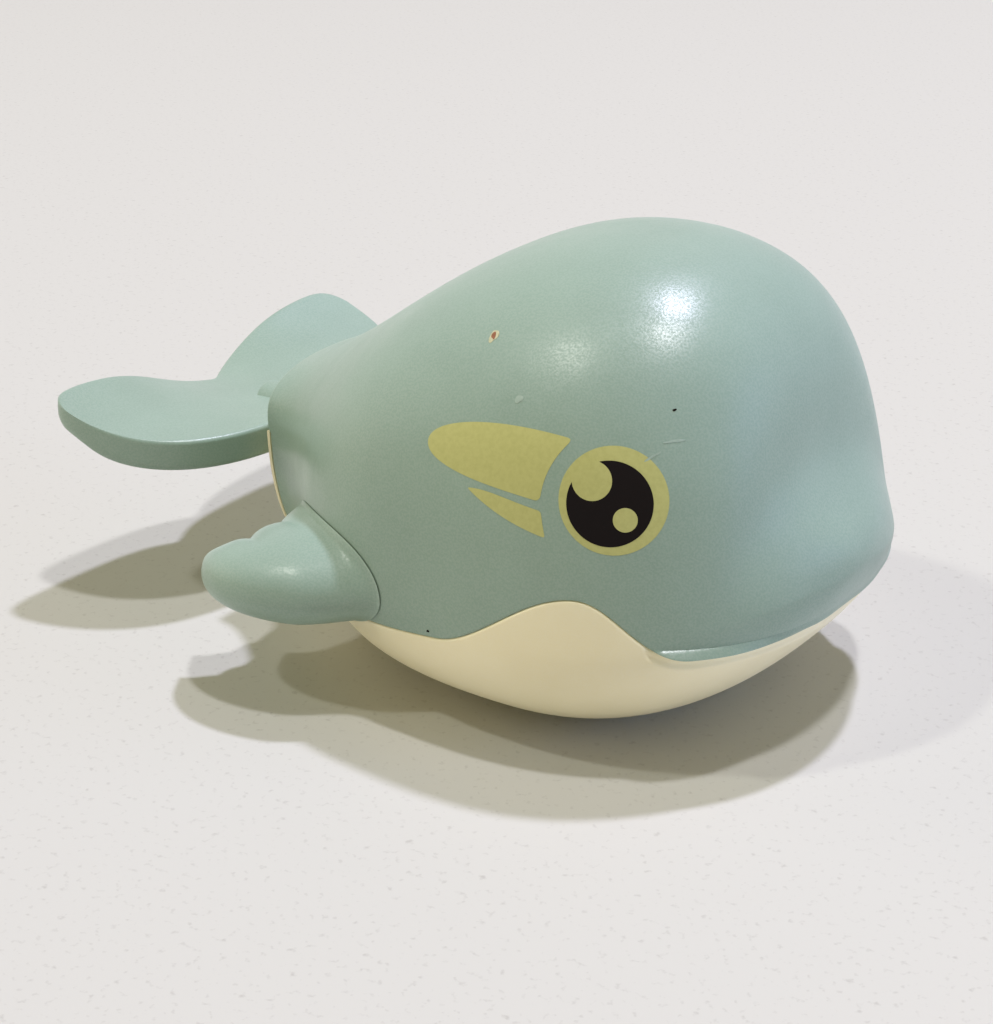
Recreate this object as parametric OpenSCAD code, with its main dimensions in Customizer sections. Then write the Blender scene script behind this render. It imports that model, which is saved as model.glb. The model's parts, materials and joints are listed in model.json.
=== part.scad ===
// Wind-up whale bath toy: moulded body, two flippers, a turning tail and the clockwork behind it.
// Millimetres. +X is the nose, +Y the whale's left, +Z up. Z = 0 is the table under the flat of the belly.

/* [Body] */
// height of the back above the table
body_h = 66; // [50:0.5:90]
// half of the widest width
half_w = 36.6; // [28:0.1:50]
// tip of the upper lip along X
nose_x = 45.3; // [35:0.1:60]
// front of the brow along X, behind the lip
brow_x = 37.5; // [30:0.1:58]
// highest point of the back along X
apex_x = 11.7; // [0:0.1:25]
// plane of the flat rear end
rear_x = -47.3; // [-70:0.1:-35]
// half width of the rear end
rear_w = 15.2; // [8:0.1:24]
// top of the rear end
rear_top = 37.7; // [28:0.1:50]
// bottom of the rear end
rear_bot = 5.6; // [1:0.1:14]
// height of the lip tip
lip_z = 26.3; // [15:0.1:35]
// height over which the brow flares out to the lip
lip_h = 9; // [5:0.1:12]
// depth cut off the belly for the flat it stands on
foot_cut = 0.6; // [0.2:0.1:2]
// wall of both shells
wall = 2.2; // [1.4:0.1:3.5]

/* [Joint line] */
// height of the joint line where it starts to rise
seam_z = 16.8; // [12:0.1:24]
// how much the joint line falls towards the rear, per mm
seam_tilt = 0.12; // [0:0.01:0.2]
// where the joint line starts to rise
seam_low_x = 1; // [-6:0.1:10]
// crest of the joint line along X
seam_crest_x = 21.4; // [12:0.1:28]
// crest of the joint line, height
seam_crest_z = 27; // [20:0.1:34]
// corner of the mouth along X
mouth_x = 34; // [28:0.1:40]
// height of the mouth line
mouth_z = 19.3; // [14:0.1:24]

/* [Rear cover] */
// edge of the cover that shows behind the shells
flange_t = 0.7; // [0.4:0.1:2]
// how far up the edge shows
flange_top = 28.4; // [18:0.1:34]
// depth of the plug inside the shells
plug_t = 3.2; // [2:0.1:6]

/* [Tail] */
// height of the tail shaft
shaft_z = 25.5; // [22:0.1:30]
// half span of the flukes
fluke_span = 32.6; // [22:0.1:40]
// gap between the rear end and the flukes
tail_gap = 1.7; // [0.9:0.1:6]
// length of the flukes from front edge to notch
fluke_l = 23.5; // [14:0.1:36]
// how far the lobes reach behind the notch
fluke_lobe = 3.7; // [2:0.1:10]
// how far the flukes curl up
fluke_rise = 6.5; // [0:0.1:10]
// thickness of the flukes at the front rim
fluke_t = 5.0; // [3:0.1:7]
// radius of the hub
hub_r = 3.5; // [2.6:0.1:5]
// length of the hub
hub_l = 11.6; // [8:0.1:16]

/* [Flippers] */
// middle of the root along X
root_x = -22.4; // [-28:0.1:-15]
// middle of the root, height
root_z = 19.5; // [16:0.1:26]
// half length of the root
root_a = 14.1; // [9:0.1:18]
// half height of the root
root_b = 8.5; // [4:0.1:9]
// radius of the plug through the shell
plug_r = 3.2; // [2:0.1:4]
// radius of the washer behind the plug
washer_r = 5; // [4:0.1:6]

/* [Clockwork] */
// module of the gears
gear_m = 0.6; // [0.5:0.05:0.7]
// teeth of the drive pinion
pinion_n = 12; // [12:1:12]
// teeth of the idler wheel
idler_n = 24; // [24:1:24]
// teeth of the idler pinion
small_n = 9; // [9:1:9]
// teeth of the great wheel
great_n = 27; // [27:1:27]
// radius of the drive shaft
shaft_r = 1.5; // [1:0.1:2]
// radius of the spring arbor
arbor_r = 1.5; // [1:0.1:2]
// thickness of the frame plates
plate_t = 0.8; // [0.6:0.1:1.2]
// thickness of the spring ribbon
ribbon_t = 0.3; // [0.2:0.05:0.5]
// turns of the spring
spring_turns = 6; // [4:1:8]

/* [Screws] */
// radius of the shell screw shank
screw_r = 1.3; // [1:0.1:1.6]
// radius of the shell screw head
head_r = 2.5; // [2:0.1:3]
// radius of the posts and bosses
post_r = 4; // [3.5:0.1:5]

/* [Hidden] */
$fn = 48;
eps = 0.01;
// exponents of the body curves
brow_p = 2.09; brow_q = 3.56; lip_k = 2.2; back_k = 1.15; back_mix = 0.43;
chin_x = 7.4; chin_p = 2.21; chin_q = 1.38; belly_p = 3.0;
wide_x = 0.1; plan_p = 2.46; plan_q = 2.02; plan_k = 1.57;
wide_z = 17.8; wide_rear_z = 30.5;
up_n = 2.58; up_m = 2.32; low_n = 2.2; low_m = 2.4;
// upper exponents at the nose, and where they start to change
nose_n = 1.05; nose_m = 3.53; nose_from = 16;
// rows of the shell grids: back, brow and lip; columns from joint line to middle line
rows_a = 20; rows_b = 26; rows_c = 4; rows_n = rows_a + rows_b + rows_c;
cols_up = 9; cols_low = 7;
// tail stations along X
fluke_front = rear_x - tail_gap;
fluke_notch = fluke_front - fluke_l;
fluke_tip_x = fluke_notch + 1;
hub_end = fluke_front - hub_l;
// clockwork stations along X
bush_flange_x = rear_x + plug_t;
seal_x = bush_flange_x + 2.6;
plate_rear_x = rear_x + 10.2;
plate_front_x = plate_rear_x + 15.4;
gear_x = plate_rear_x + plate_t + 0.9;
small_x = gear_x + 3.4;
great_x = small_x + 0.8;
spring_x = great_x + 3.6;
idler_z = shaft_z - gear_m * (pinion_n + idler_n) / 2;
pillars = [[7.8, shaft_z + 8.2], [-7.8, shaft_z + 8.2], [7.8, shaft_z - 16], [-7.8, shaft_z - 16]];
frame_screws = [[9.4, shaft_z + 2.2], [-9.4, shaft_z + 2.2], [0, shaft_z - 15.6]];
posts = [[20, 0], [-9, 16], [-9, -16]];
post_z = 14;

green = [0.62, 0.72, 0.67];
cream = [0.84, 0.80, 0.66];
steel = [0.72, 0.73, 0.74];
brass = [0.80, 0.68, 0.38];
white = [0.93, 0.92, 0.88];

// Body surface. k is the depth inside the outer surface.

function clamp(v, a, b) = min(max(v, a), b);
function ease(v) = (1 + cos(180 * clamp(v, 0, 1))) / 2;
function arch(u, p, q) = pow(max(1 - pow(clamp(u, 0, 1), p), 0), 1 / q);

function back(v) = (1 - back_mix) * ease(pow(v, back_k)) + back_mix * (1 - v * v);
function front_x(z, k) = let (t = max(z - lip_z, 0)) apex_x
  + (brow_x - k - apex_x) * arch(t / (body_h - k - lip_z), brow_q, brow_p)
  + (nose_x - brow_x) * exp(-pow(t / lip_h, lip_k));
function front_z(x, k, a, b, n) = let (m = (a + b) / 2)
  n == 0 ? m : front_x(m, k) > x ? front_z(x, k, m, b, n - 1) : front_z(x, k, a, m, n - 1);
function top_z(x, k) = x > apex_x ? front_z(x, k, lip_z, body_h - k, 22)
  : rear_top - k + (body_h - rear_top) * back(clamp((apex_x - x) / (apex_x - rear_x), 0, 1));
function bot_z(x, k) = k - foot_cut
  + (lip_z + foot_cut - k) * (1 - arch((x - chin_x) / (nose_x - k - chin_x), chin_p, chin_q))
  + rear_bot * pow(clamp(-x / -rear_x, 0, 1.2), belly_p);
function plan_w(x, k) = x > wide_x
  ? (half_w - k) * arch((x - wide_x) / (nose_x - k - wide_x), plan_p, plan_q)
  : rear_w - k + (half_w - rear_w) * ease(pow((wide_x - x) / (wide_x - rear_x), plan_k));
function rear_part(x) = let (v = clamp((wide_x - x) / (wide_x - rear_x), 0, 1)) 1.2 * v * v / (v + 0.2);
function mid_z(x, k) = wide_z + (lip_z - wide_z) * pow(clamp((x - wide_x) / (nose_x - k - wide_x), 0, 1), 2)
  + (wide_rear_z - wide_z) * rear_part(x);
function nose_share(x) = let (t = clamp((x - nose_from) / (nose_x - nose_from), 0, 1)) t * t * (3 - 2 * t);
function side_y(x, z, k) = let (m = mid_z(x, k), up = z >= m, f = nose_share(x))
  plan_w(x, k) * (up ? arch((z - m) / max(top_z(x, k) - m, eps), up_n + (nose_n - up_n) * f, up_m + (nose_m - up_m) * f)
                     : arch((m - z) / max(m - bot_z(x, k), eps), low_n, low_m));

// Joint line between the shells in side view, and where it meets the chin.

function seam(x) = let (t = max(x - seam_low_x, 0) / (seam_crest_x - seam_low_x))
  x < seam_crest_x ? seam_z + (seam_crest_z - seam_z) * t * t * (3 - 2 * t)
    + seam_tilt * (x - seam_low_x) * pow(1 - t, 2)
  : x < mouth_x ? mouth_z + (seam_crest_z - mouth_z) * ease((x - seam_crest_x) / (mouth_x - seam_crest_x))
  : mouth_z;
function chin_at(z, k) = let (s = 1 - (z + foot_cut - k) / (lip_z + foot_cut - k))
  chin_x + (nose_x - k - chin_x) * pow(1 - pow(s, chin_q), 1 / chin_p);
function seam_front(k) = chin_at(mouth_z, k);
function seam_x(i, k, start) = i <= rows_a ? start + (apex_x - start) * i / rows_a
  : apex_x + (seam_front(k) - apex_x) * (i - rows_a) / (rows_n - rows_a);

// Middle line of the back, brow and lip, row by row, as [x, z].

function crown(i, k) = i <= rows_a
  ? let (x = rear_x + (apex_x - rear_x) * i / rows_a) [x, top_z(x, k)]
  : i <= rows_a + rows_b
  ? let (z = lip_z + (body_h - k - lip_z) * pow(cos(90 * (i - rows_a) / rows_b), 1.3)) [front_x(z, k), z]
  : let (z = lip_z + (mouth_z - lip_z) * (i - rows_a - rows_b) / rows_c) [chin_at(z, k), z];

// One grid point of a shell: f runs 0 at the joint line to 1 at the middle line.

function up_point(i, f, k) = let (a = [seam_x(i, k, rear_x), seam(seam_x(i, k, rear_x))], t = crown(i, k),
  q = a + (t - a) * sin(90 * f)) [q[0], f < 1 ? side_y(q[0], q[1], k) : 0, q[1]];
function low_point(i, f, k) = let (x = seam_x(i, k, rear_x + flange_t), a = seam(x),
  z = a + (bot_z(x, k) - a) * sin(90 * f)) [x, f < 1 ? side_y(x, z, k) : 0, max(z, k)];
function shell_point(up, i, f, k) = up ? up_point(i, f, k) : low_point(i, f, k);
function shell_rows(up, n, k) = [for (i = [0:rows_n - 1], c = [0:2 * n])
  let (f = (c <= n ? c : 2 * n - c) / n, p = shell_point(up, i, f, k)) [p[0], c <= n ? p[1] : -p[1], p[2]]];

// Shell between the outer surface and the surface one wall further in.
module shell(up, n) {
  w = 2 * n + 1;
  half = rows_n * w;
  pole = 2 * half;
  pts = concat(shell_rows(up, n, 0), shell_rows(up, n, wall),
    [[seam_front(0), 0, mouth_z], [seam_front(wall), 0, mouth_z]]);
  skin = [for (i = [0:rows_n - 2], c = [0:w - 2], h = [0, 1])
    let (a = i * w + c, b = a + w) h == 0 ? [a, b, b + 1] : [a, b + 1, a + 1]];
  tip = [for (c = [0:w - 2]) [(rows_n - 1) * w + c, pole, (rows_n - 1) * w + c + 1]];
  inner = concat([for (t = skin) [t[2] + half, t[1] + half, t[0] + half]],
    [for (t = tip) [t[2] + half, pole + 1, t[0] + half]]);
  rim = [for (i = [0:rows_n - 2], h = [0, 1], s = [0, 1])
    let (o = i * w + (s == 0 ? 0 : w - 1), e = o + w)
    s == 0 ? (h == 0 ? [o, o + half, e + half] : [o, e + half, e])
           : (h == 0 ? [o, e, e + half] : [o, e + half, o + half])];
  l = (rows_n - 1) * w; r = l + w - 1;
  front = [[l, l + half, pole + 1], [l, pole + 1, pole], [r, pole, pole + 1], [r, pole + 1, r + half]];
  back = [for (c = [0:w - 2], h = [0, 1]) h == 0 ? [c, c + 1, c + 1 + half] : [c, c + 1 + half, c + half]];
  all = concat(skin, tip, inner, rim, front, back);
  polyhedron(pts, up ? all : [for (t = all) [t[2], t[1], t[0]]], convexity = 10);
}

// Solid between a surface k deep and the joint line, for trimming posts and bosses.
module filled(up, n, k) {
  w = 2 * n + 1;
  pole = rows_n * w;
  pts = concat(shell_rows(up, n, k), [[seam_front(k), 0, mouth_z]]);
  skin = [for (i = [0:rows_n - 2], c = [0:w - 2], h = [0, 1])
    let (a = i * w + c, b = a + w) h == 0 ? [a, b, b + 1] : [a, b + 1, a + 1]];
  tip = [for (c = [0:w - 2]) [(rows_n - 1) * w + c, pole, (rows_n - 1) * w + c + 1]];
  lid = [for (i = [0:rows_n - 2], h = [0, 1]) let (l = i * w, r = l + w - 1)
    h == 0 ? [l, r, r + w] : [l, r + w, l + w]];
  last = (rows_n - 1) * w;
  cap = [[last, last + w - 1, pole]];
  back = [for (c = [1:w - 2]) [0, c, c + 1]];
  all = concat(skin, tip, lid, cap, back);
  polyhedron(pts, up ? all : [for (t = all) [t[2], t[1], t[0]]], convexity = 10);
}

// Rear end outline, k deep, between two heights.
module rear_outline(k, z0, z1, n) {
  a = max(z0, bot_z(rear_x, k) + eps);
  b = min(z1, top_z(rear_x, k) - eps);
  right = [for (i = [0:n]) let (z = (a + b) / 2 - (b - a) / 2 * cos(180 * i / n)) [side_y(rear_x, z, k), z]];
  polygon(concat(right, [for (i = [n:-1:0]) [-right[i][0], right[i][1]]]));
}

module along_x(x, h) { translate([x, 0, 0]) rotate([90, 0, 90]) linear_extrude(height = h) children(); }
module rod(x0, x1, r, y = 0, z = shaft_z) { translate([x0, y, z]) rotate([0, 90, 0]) cylinder(h = x1 - x0, r = r); }

module upper_shell() color(green) difference() {
  union() {
    shell(true, cols_up);
    intersection() {
      filled(true, cols_up, wall / 2);
      for (p = posts) translate([p[0], p[1], seam_z - 4]) cylinder(h = body_h, r = post_r);
    }
    for (p = posts) translate([p[0], p[1], post_z]) cylinder(h = 20, r = post_r);
  }
  translate([rear_x - 1, -half_w, 0]) cube([1 + flange_t, 2 * half_w, flange_top]);
  for (s = [-1, 1]) translate([root_x, s * half_w, plug_z]) rotate([90 * s, 0, 0]) cylinder(h = half_w / 2, r = plug_r + 0.1);
  for (p = posts) translate([p[0], p[1], post_z - 1]) cylinder(h = 13, r = screw_r);
}

module belly_shell() color(cream) difference() {
  union() {
    shell(false, cols_low);
    intersection() {
      filled(false, cols_low, wall / 2);
      for (p = posts) translate([p[0], p[1], -1]) cylinder(h = post_z + 1, r = post_r);
    }
  }
  for (p = posts) translate([p[0], p[1], -1]) {
    cylinder(h = post_z + 2, r = screw_r + 0.3);
    cylinder(h = 6.6, r = head_r + 0.3);
  }
}

module rear_cover() color(cream) difference() {
  union() {
    along_x(rear_x, flange_t) rear_outline(0.05, -1, flange_top, 24);
    along_x(rear_x, plug_t) rear_outline(wall + 0.15, 0, body_h, 32);
    for (p = frame_screws) rod(rear_x + 1, plate_rear_x, 2.2, p[0], p[1]);
  }
  rod(rear_x - 1, rear_x + plug_t + 1, 3);
  for (p = frame_screws) {
    rod(rear_x - 1, rear_x + 1.3, 2, p[0], p[1]);
    rod(rear_x, plate_rear_x + 1, 1, p[0], p[1]);
  }
}

// Flukes: plate sections across the span, from one tip to the other, thinner towards the trailing edge.

fluke_rows = 26;
rim_r = 0.5;
keel_r = 1.4;
// columns of a section by share of the way round: front wall, top, trailing edge, bottom
fluke_ways = [0.06, 0.1, 0.14, 0.21, 0.28, 0.35, 0.42, 0.47, 0.53, 0.58, 0.67, 0.76, 0.84, 0.87, 0.91, 0.94];
fluke_cols = len(fluke_ways);
function fluke_turn(w) = lookup(w, [[0.06, 0], [0.14, 90], [0.42, 90], [0.47, 180], [0.53, 180], [0.58, 270],
  [0.84, 270], [0.94, 360]]);
function fluke_across(w) = lookup(w, [[0.14, 1], [0.42, -1], [0.58, -1], [0.84, 1]]);
function fluke_up(w) = lookup(w, [[0, 0], [0.06, 1], [0.47, 1], [0.53, -1], [0.94, -1], [1, 0]]);
function fluke_s(i) = -cos(180 * i / fluke_rows);
function fluke_lead(s) = fluke_tip_x + (fluke_front - fluke_tip_x) * arch(abs(s), 2.9, 2.05);
function fluke_trail(s) = let (y = fluke_span * abs(s))
  fluke_tip_x + (fluke_notch - fluke_lobe * (1 - exp(-y * y / (4 * y + 6))) - fluke_tip_x) * arch(abs(s), 19, 2);
function fluke_chord(x) = clamp((fluke_front - x) / (fluke_l + fluke_lobe), 0, 1);
function fluke_back(x, s) = clamp((fluke_lead(s) - x) / (fluke_l + fluke_lobe), 0, 1);
function fluke_full(x, s) = fluke_t / 2 * (1 - 0.56 * fluke_back(x, s));
function fluke_half(x, s) = fluke_full(x, s) * arch(abs(s), 40, 4);
function fluke_mid(x, s) = let (c = fluke_chord(x), y = fluke_span * s)
  shaft_z + fluke_rise * (1 - exp(-y * y / 190)) * (0.07 * c + 0.93 * c * c)
  - 0.28 * fluke_t * (c - fluke_back(x, s)) + fluke_full(x, s) - fluke_half(x, s);
function fluke_point(i, c) = let (s = fluke_s(i), w = fluke_ways[c], a = fluke_lead(s), b = fluke_trail(s),
  r = min(w < 0.5 ? rim_r : keel_r, 0.4 * (a - b), 0.8 * fluke_half(b, s)),
  x = (a + b) / 2 + ((a - b) / 2 - r) * fluke_across(w) + r * cos(fluke_turn(w)), y = fluke_span * s)
  [x, y, fluke_mid(x, s) + (fluke_half(x, s) - r) * fluke_up(w) + r * sin(fluke_turn(w))];

module flukes() {
  pts = concat([for (i = [1:fluke_rows - 1], c = [0:fluke_cols - 1]) fluke_point(i, c)],
    [for (s = [-1, 1]) [fluke_tip_x, s * fluke_span, fluke_mid(fluke_tip_x, s)]]);
  n = fluke_cols;
  m = (fluke_rows - 1) * n;
  polyhedron(pts, concat(
    [for (i = [0:fluke_rows - 3], c = [0:n - 1], h = [0, 1])
      let (a = i * n + c, b = i * n + (c + 1) % n) h == 0 ? [a, b, b + n] : [a, b + n, a + n]],
    [for (c = [0:n - 1]) [m, (c + 1) % n, c]],
    [for (c = [0:n - 1]) [m + 1, m - n + c, m - n + (c + 1) % n]]), convexity = 6);
}

module tail_fluke() color(green) difference() {
  union() {
    flukes();
    translate([hub_end, 0, shaft_z]) rotate([0, 90, 0]) rotate_extrude() polygon([[0, 0], [hub_r - 0.5, 0],
      [hub_r - 0.15, 0.2], [hub_r, 0.7], [hub_r, fluke_front + 0.2 - hub_end], [0, fluke_front + 0.2 - hub_end]]);
  }
  rod(hub_end + 3, rear_x, shaft_r);
  rod(hub_end - 1, hub_end + 4, 1);
  rod(hub_end - 1, hub_end + 1.4, 2);
}

// Flippers: sections from the root on the body surface to the tip.

flip_rows = 10;
flip_cols = 24;
flip_drop = 2.3;
function bez(p, t) = p[0] * pow(1 - t, 3) + p[1] * 3 * t * pow(1 - t, 2) + p[2] * 3 * t * t * (1 - t) + p[3] * pow(t, 3);
lead_curve = [[root_x + root_a, half_w - 0.1], [root_x + 6.3, half_w + 7.7], [root_x - 9, half_w + 11.4],
  [root_x - 15.6, half_w + 3.6]];
trail_curve = [[root_x - root_a, half_w - 16.4], [root_x - 12, half_w - 7.2], [root_x - 14, half_w - 1.6],
  [root_x - 18, half_w + 0.1]];
function skin_y(x, z) = side_y(x, z, 0) + 0.15;
function flip_point(i, c) = let (s = i / flip_rows, t = 360 * c / flip_cols, a = bez(lead_curve, s), b = bez(trail_curve, s),
  lobe = 0.7 * s * (1 - s) * 4 * abs(sin(450 * s)), m = (a + b) / 2, h = (a - b) / 2,
  p = m + h * cos(t) + [-lobe, 0] * max(-cos(t), 0),
  z = root_z - flip_drop * s + root_b * sqrt(1 - s) * sin(t) * (0.85 + 0.15 * cos(t)),
  w = pow(max(1 - s / 0.35, 0), 2))
  [p[0], max(p[1] + (skin_y(p[0], z) - p[1]) * w, skin_y(p[0], z) + 6 * s * clamp(1 - s / 0.5, 0, 1)), z];
function root_point(r, c) = let (t = 360 * c / flip_cols, x = root_x + root_a * r * cos(t),
  z = root_z + root_b * r * sin(t) * (0.85 + 0.15 * cos(t))) [x, skin_y(x, z), z];

// Plug: a little above the middle of the root, from inside the blade to the washer behind the wall.
plug_z = root_z + 2;
function flip_in() = side_y(root_x - washer_r, plug_z, wall) - 1.25;
function flip_out() = skin_y(root_x, plug_z) + 1.6;
function lead_tip() = [lead_curve[3][0], lead_curve[3][1], root_z - flip_drop];
function trail_tip() = [trail_curve[3][0], trail_curve[3][1], root_z - flip_drop];
function ring_quad(a, b, c) = let (e = (c + 1) % flip_cols) [[a + c, a + e, b + e], [a + c, b + e, b + c]];

module flipper_blade() {
  n = flip_cols;
  m = flip_rows * n;
  tip = m + 2 * n;
  pts = concat([for (i = [0:flip_rows - 1], c = [0:n - 1]) flip_point(i, c)],
    [for (r = [0.7, 0.4], c = [0:n - 1]) root_point(r, c)],
    [(lead_tip() + trail_tip()) / 2, [root_x, skin_y(root_x, root_z), root_z]]);
  polyhedron(pts, concat(
    [for (i = [0:flip_rows - 2], c = [0:n - 1]) each ring_quad(i * n, i * n + n, c)],
    [for (c = [0:n - 1]) [m - n + c, m - n + (c + 1) % n, tip]],
    [for (c = [0:n - 1]) each ring_quad(m, 0, c)],
    [for (c = [0:n - 1]) each ring_quad(m + n, m, c)],
    [for (c = [0:n - 1]) [tip + 1, m + n + (c + 1) % n, m + n + c]]), convexity = 6);
}

module flipper() color(green) difference() {
  union() {
    flipper_blade();
    translate([root_x, flip_out(), plug_z]) rotate([90, 0, 0]) cylinder(h = flip_out() - flip_in(), r = plug_r);
  }
  translate([root_x, flip_in() + 6, plug_z]) rotate([90, 0, 0]) cylinder(h = 8, r = 0.9);
}

module left_flipper() flipper();
module right_flipper() mirror([0, 1, 0]) flipper();

// Gears.

function inv_deg(rb, r) = let (a = acos(min(rb / r, 1))) tan(a) * 180 / PI - a;
function tooth_half(n, r) = let (rp = gear_m * n / 2, rb = rp * cos(25))
  90 / n - 0.05 / rp * 180 / PI + inv_deg(rb, rp) - inv_deg(rb, max(r, rb));
function gear_points(n, turn) = let (rp = gear_m * n / 2, rb = rp * cos(25), ra = rp + 0.8 * gear_m, rf = rp - 1.2 * gear_m,
  r0 = max(rb, rf), radii = concat(rf < rb ? [rf] : [], [for (i = [0:4]) r0 + (ra - r0) * i / 4]))
  [for (k = [0:n - 1], s = [-1, 1], j = [0:len(radii) - 1])
    let (r = radii[s < 0 ? j : len(radii) - 1 - j], a = turn + 360 * k / n + s * tooth_half(n, r)) [r * cos(a), r * sin(a)]];
module gear(x, h, n, turn, z) { translate([0, 0, z]) along_x(x, h) polygon(gear_points(n, turn)); }

module drive_shaft() color(steel) difference() {
  rod(hub_end + 3.05, gear_x + 3.6, shaft_r);
  rod(gear_x + 1.4, gear_x + 5, 0.84);
  rod(hub_end, hub_end + 6.6, 0.8);
}

module tail_screw() color(steel) {
  rod(hub_end + 0.2, hub_end + 1.4, 1.8);
  rod(hub_end + 1.4, hub_end + 6.2, 0.8);
}

module drive_pinion() color(brass) difference() {
  gear(gear_x - 0.3, 3.6, pinion_n, 0, shaft_z);
  rod(gear_x - 1, gear_x + 5, shaft_r);
}

module idler_gear() color(brass) difference() {
  union() {
    gear(gear_x, 3, idler_n, 7.5, idler_z);
    gear(gear_x + 2.9, 4.6, small_n, 10, idler_z);
  }
  rod(gear_x - 1, gear_x + 9, 0.84, 0, idler_z);
}

module idler_axle() color(steel) {
  rod(plate_rear_x, plate_front_x + plate_t, 0.8, 0, idler_z);
  rod(gear_x + 7.7, plate_front_x, 1.4, 0, idler_z);
  rod(plate_rear_x + plate_t, gear_x - 0.2, 1.4, 0, idler_z);
}

module great_wheel() color(brass) difference() {
  gear(great_x, 3, great_n, -10 / 3, shaft_z);
  rod(great_x - 1, great_x + 4, arbor_r);
}

module spring_arbor() color(steel) {
  rod(gear_x + 1.7, great_x, 0.8);
  rod(great_x - 0.3, plate_front_x - 0.3, arbor_r);
  rod(plate_front_x - 0.4, plate_front_x + plate_t + 0.8, 1.2);
}

// Spiral ribbon from just outside the arbor to the inner face of a pillar.
spring_r0 = arbor_r + 0.45;
spring_n = 30 * spring_turns;
spring_end = atan2(pillars[0][1] - shaft_z, pillars[0][0]);
spring_reach = norm([pillars[0][0], pillars[0][1] - shaft_z]) - 1.3 - ribbon_t;
function ribbon_at(i, o) = let (f = i / spring_n, a = spring_end - 360 * spring_turns * (1 - f),
  r = spring_r0 + (8.6 - spring_r0) * f + (spring_reach - 8.6) * pow(f, 40) + o) [r * cos(a), r * sin(a)];
module mainspring() color(steel) translate([0, 0, shaft_z]) along_x(spring_x, 3.4)
  polygon(concat([for (i = [0:spring_n]) ribbon_at(i, 0)], [for (i = [spring_n:-1:0]) ribbon_at(i, ribbon_t)]));

module plate(x, t) difference() {
  along_x(x, t) union() {
    translate([-10.4, shaft_z - 14]) square([20.8, 20.5]);
    translate([-7.4, shaft_z - 18.6]) square([14.8, 29.6]);
    for (p = pillars) translate([p[0], p[1]]) circle(r = 2.6);
    for (s = [-1, 1]) translate([s * 7.4, shaft_z + 6.5]) circle(r = 3);
  }
  for (p = pillars) rod(x - 1, x + t + 1, 0.8, p[0], p[1]);
  rod(x - 1, x + t + 1, 0.8, 0, idler_z);
}

module motor_rear_plate() color(steel) difference() {
  plate(plate_rear_x, plate_t);
  rod(plate_rear_x - 1, plate_rear_x + 2, shaft_r + 0.05);
  for (p = frame_screws) rod(plate_rear_x - 1, plate_rear_x + 2, 0.9, p[0], p[1]);
}

module motor_front_plate() color(steel) difference() {
  plate(plate_front_x, plate_t);
  rod(plate_front_x - 1, plate_front_x + 2, 1.25);
}

module frame_pillars() color(steel) for (p = pillars) {
  rod(plate_rear_x + plate_t, plate_front_x, 1.3, p[0], p[1]);
  rod(plate_rear_x - 0.1, plate_front_x + plate_t + 0.1, 0.8, p[0], p[1]);
  rod(plate_rear_x - 0.6, plate_rear_x, 1.3, p[0], p[1]);
  rod(plate_front_x + plate_t, plate_front_x + plate_t + 0.6, 1.3, p[0], p[1]);
}

module shaft_bush() color(brass) difference() {
  union() {
    rod(rear_x, bush_flange_x + 0.1, 3);
    rod(bush_flange_x, seal_x, 4.6);
  }
  rod(rear_x - 1, seal_x + 1, shaft_r + 0.04);
  rod(seal_x - 1.6, seal_x + 1, 3.1);
}

module shaft_seal() color([0.15, 0.15, 0.15]) translate([seal_x - 0.8, 0, shaft_z]) rotate([0, 90, 0])
  rotate_extrude() translate([2.32, 0]) circle(r = 0.75, $fn = 32);

module seal_cap() color(steel) difference() {
  rod(seal_x, seal_x + 0.6, 4.6);
  rod(seal_x - 1, seal_x + 2, shaft_r + 0.3);
}

module motor_screws() color(steel) for (p = frame_screws) {
  rod(rear_x + 0.2, rear_x + 1.3, 1.7, p[0], p[1]);
  rod(rear_x + 1.2, plate_rear_x + plate_t + 0.4, 0.9, p[0], p[1]);
}

module shell_screws() color(steel) for (p = posts) translate([p[0], p[1], 0]) {
  translate([0, 0, 4]) cylinder(h = 1.6, r = head_r);
  translate([0, 0, 5.5]) cylinder(h = 19, r = screw_r);
}

module flipper_washers() color(steel) for (s = [-1, 1])
  translate([root_x, s * (flip_in() - 0.8), plug_z]) rotate([-90 * s, 0, 0]) difference() {
    cylinder(h = 0.8, r = washer_r);
    translate([0, 0, -1]) cylinder(h = 3, r = 1);
  }

module flipper_screws() color(steel) for (s = [-1, 1])
  translate([root_x, s * (flip_in() - 2), plug_z]) rotate([-90 * s, 0, 0]) {
    cylinder(h = 1.2, r = 1.9);
    cylinder(h = 7.4, r = 0.9);
  }

upper_shell();
belly_shell();
rear_cover();
tail_fluke();
right_flipper();
left_flipper();
drive_shaft();
tail_screw();
shaft_bush();
shaft_seal();
seal_cap();
drive_pinion();
idler_gear();
idler_axle();
great_wheel();
spring_arbor();
mainspring();
motor_rear_plate();
motor_front_plate();
frame_pillars();
motor_screws();
shell_screws();
flipper_screws();
flipper_washers();
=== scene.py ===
"""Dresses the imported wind-up whale: moulded shells, flippers and tail, printed eyes, screws and finishes.

Sizes are millimetres in the frame of the part: +X is the nose, +Y the whale's left, +Z up, Z = 0 the table.
They become metres only where points are written to a mesh.
"""

from __future__ import annotations

import json
import logging
import math
from dataclasses import dataclass, field
from enum import Enum
from typing import Callable

import bpy
import numpy as np
from mathutils import Matrix, Vector

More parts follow.
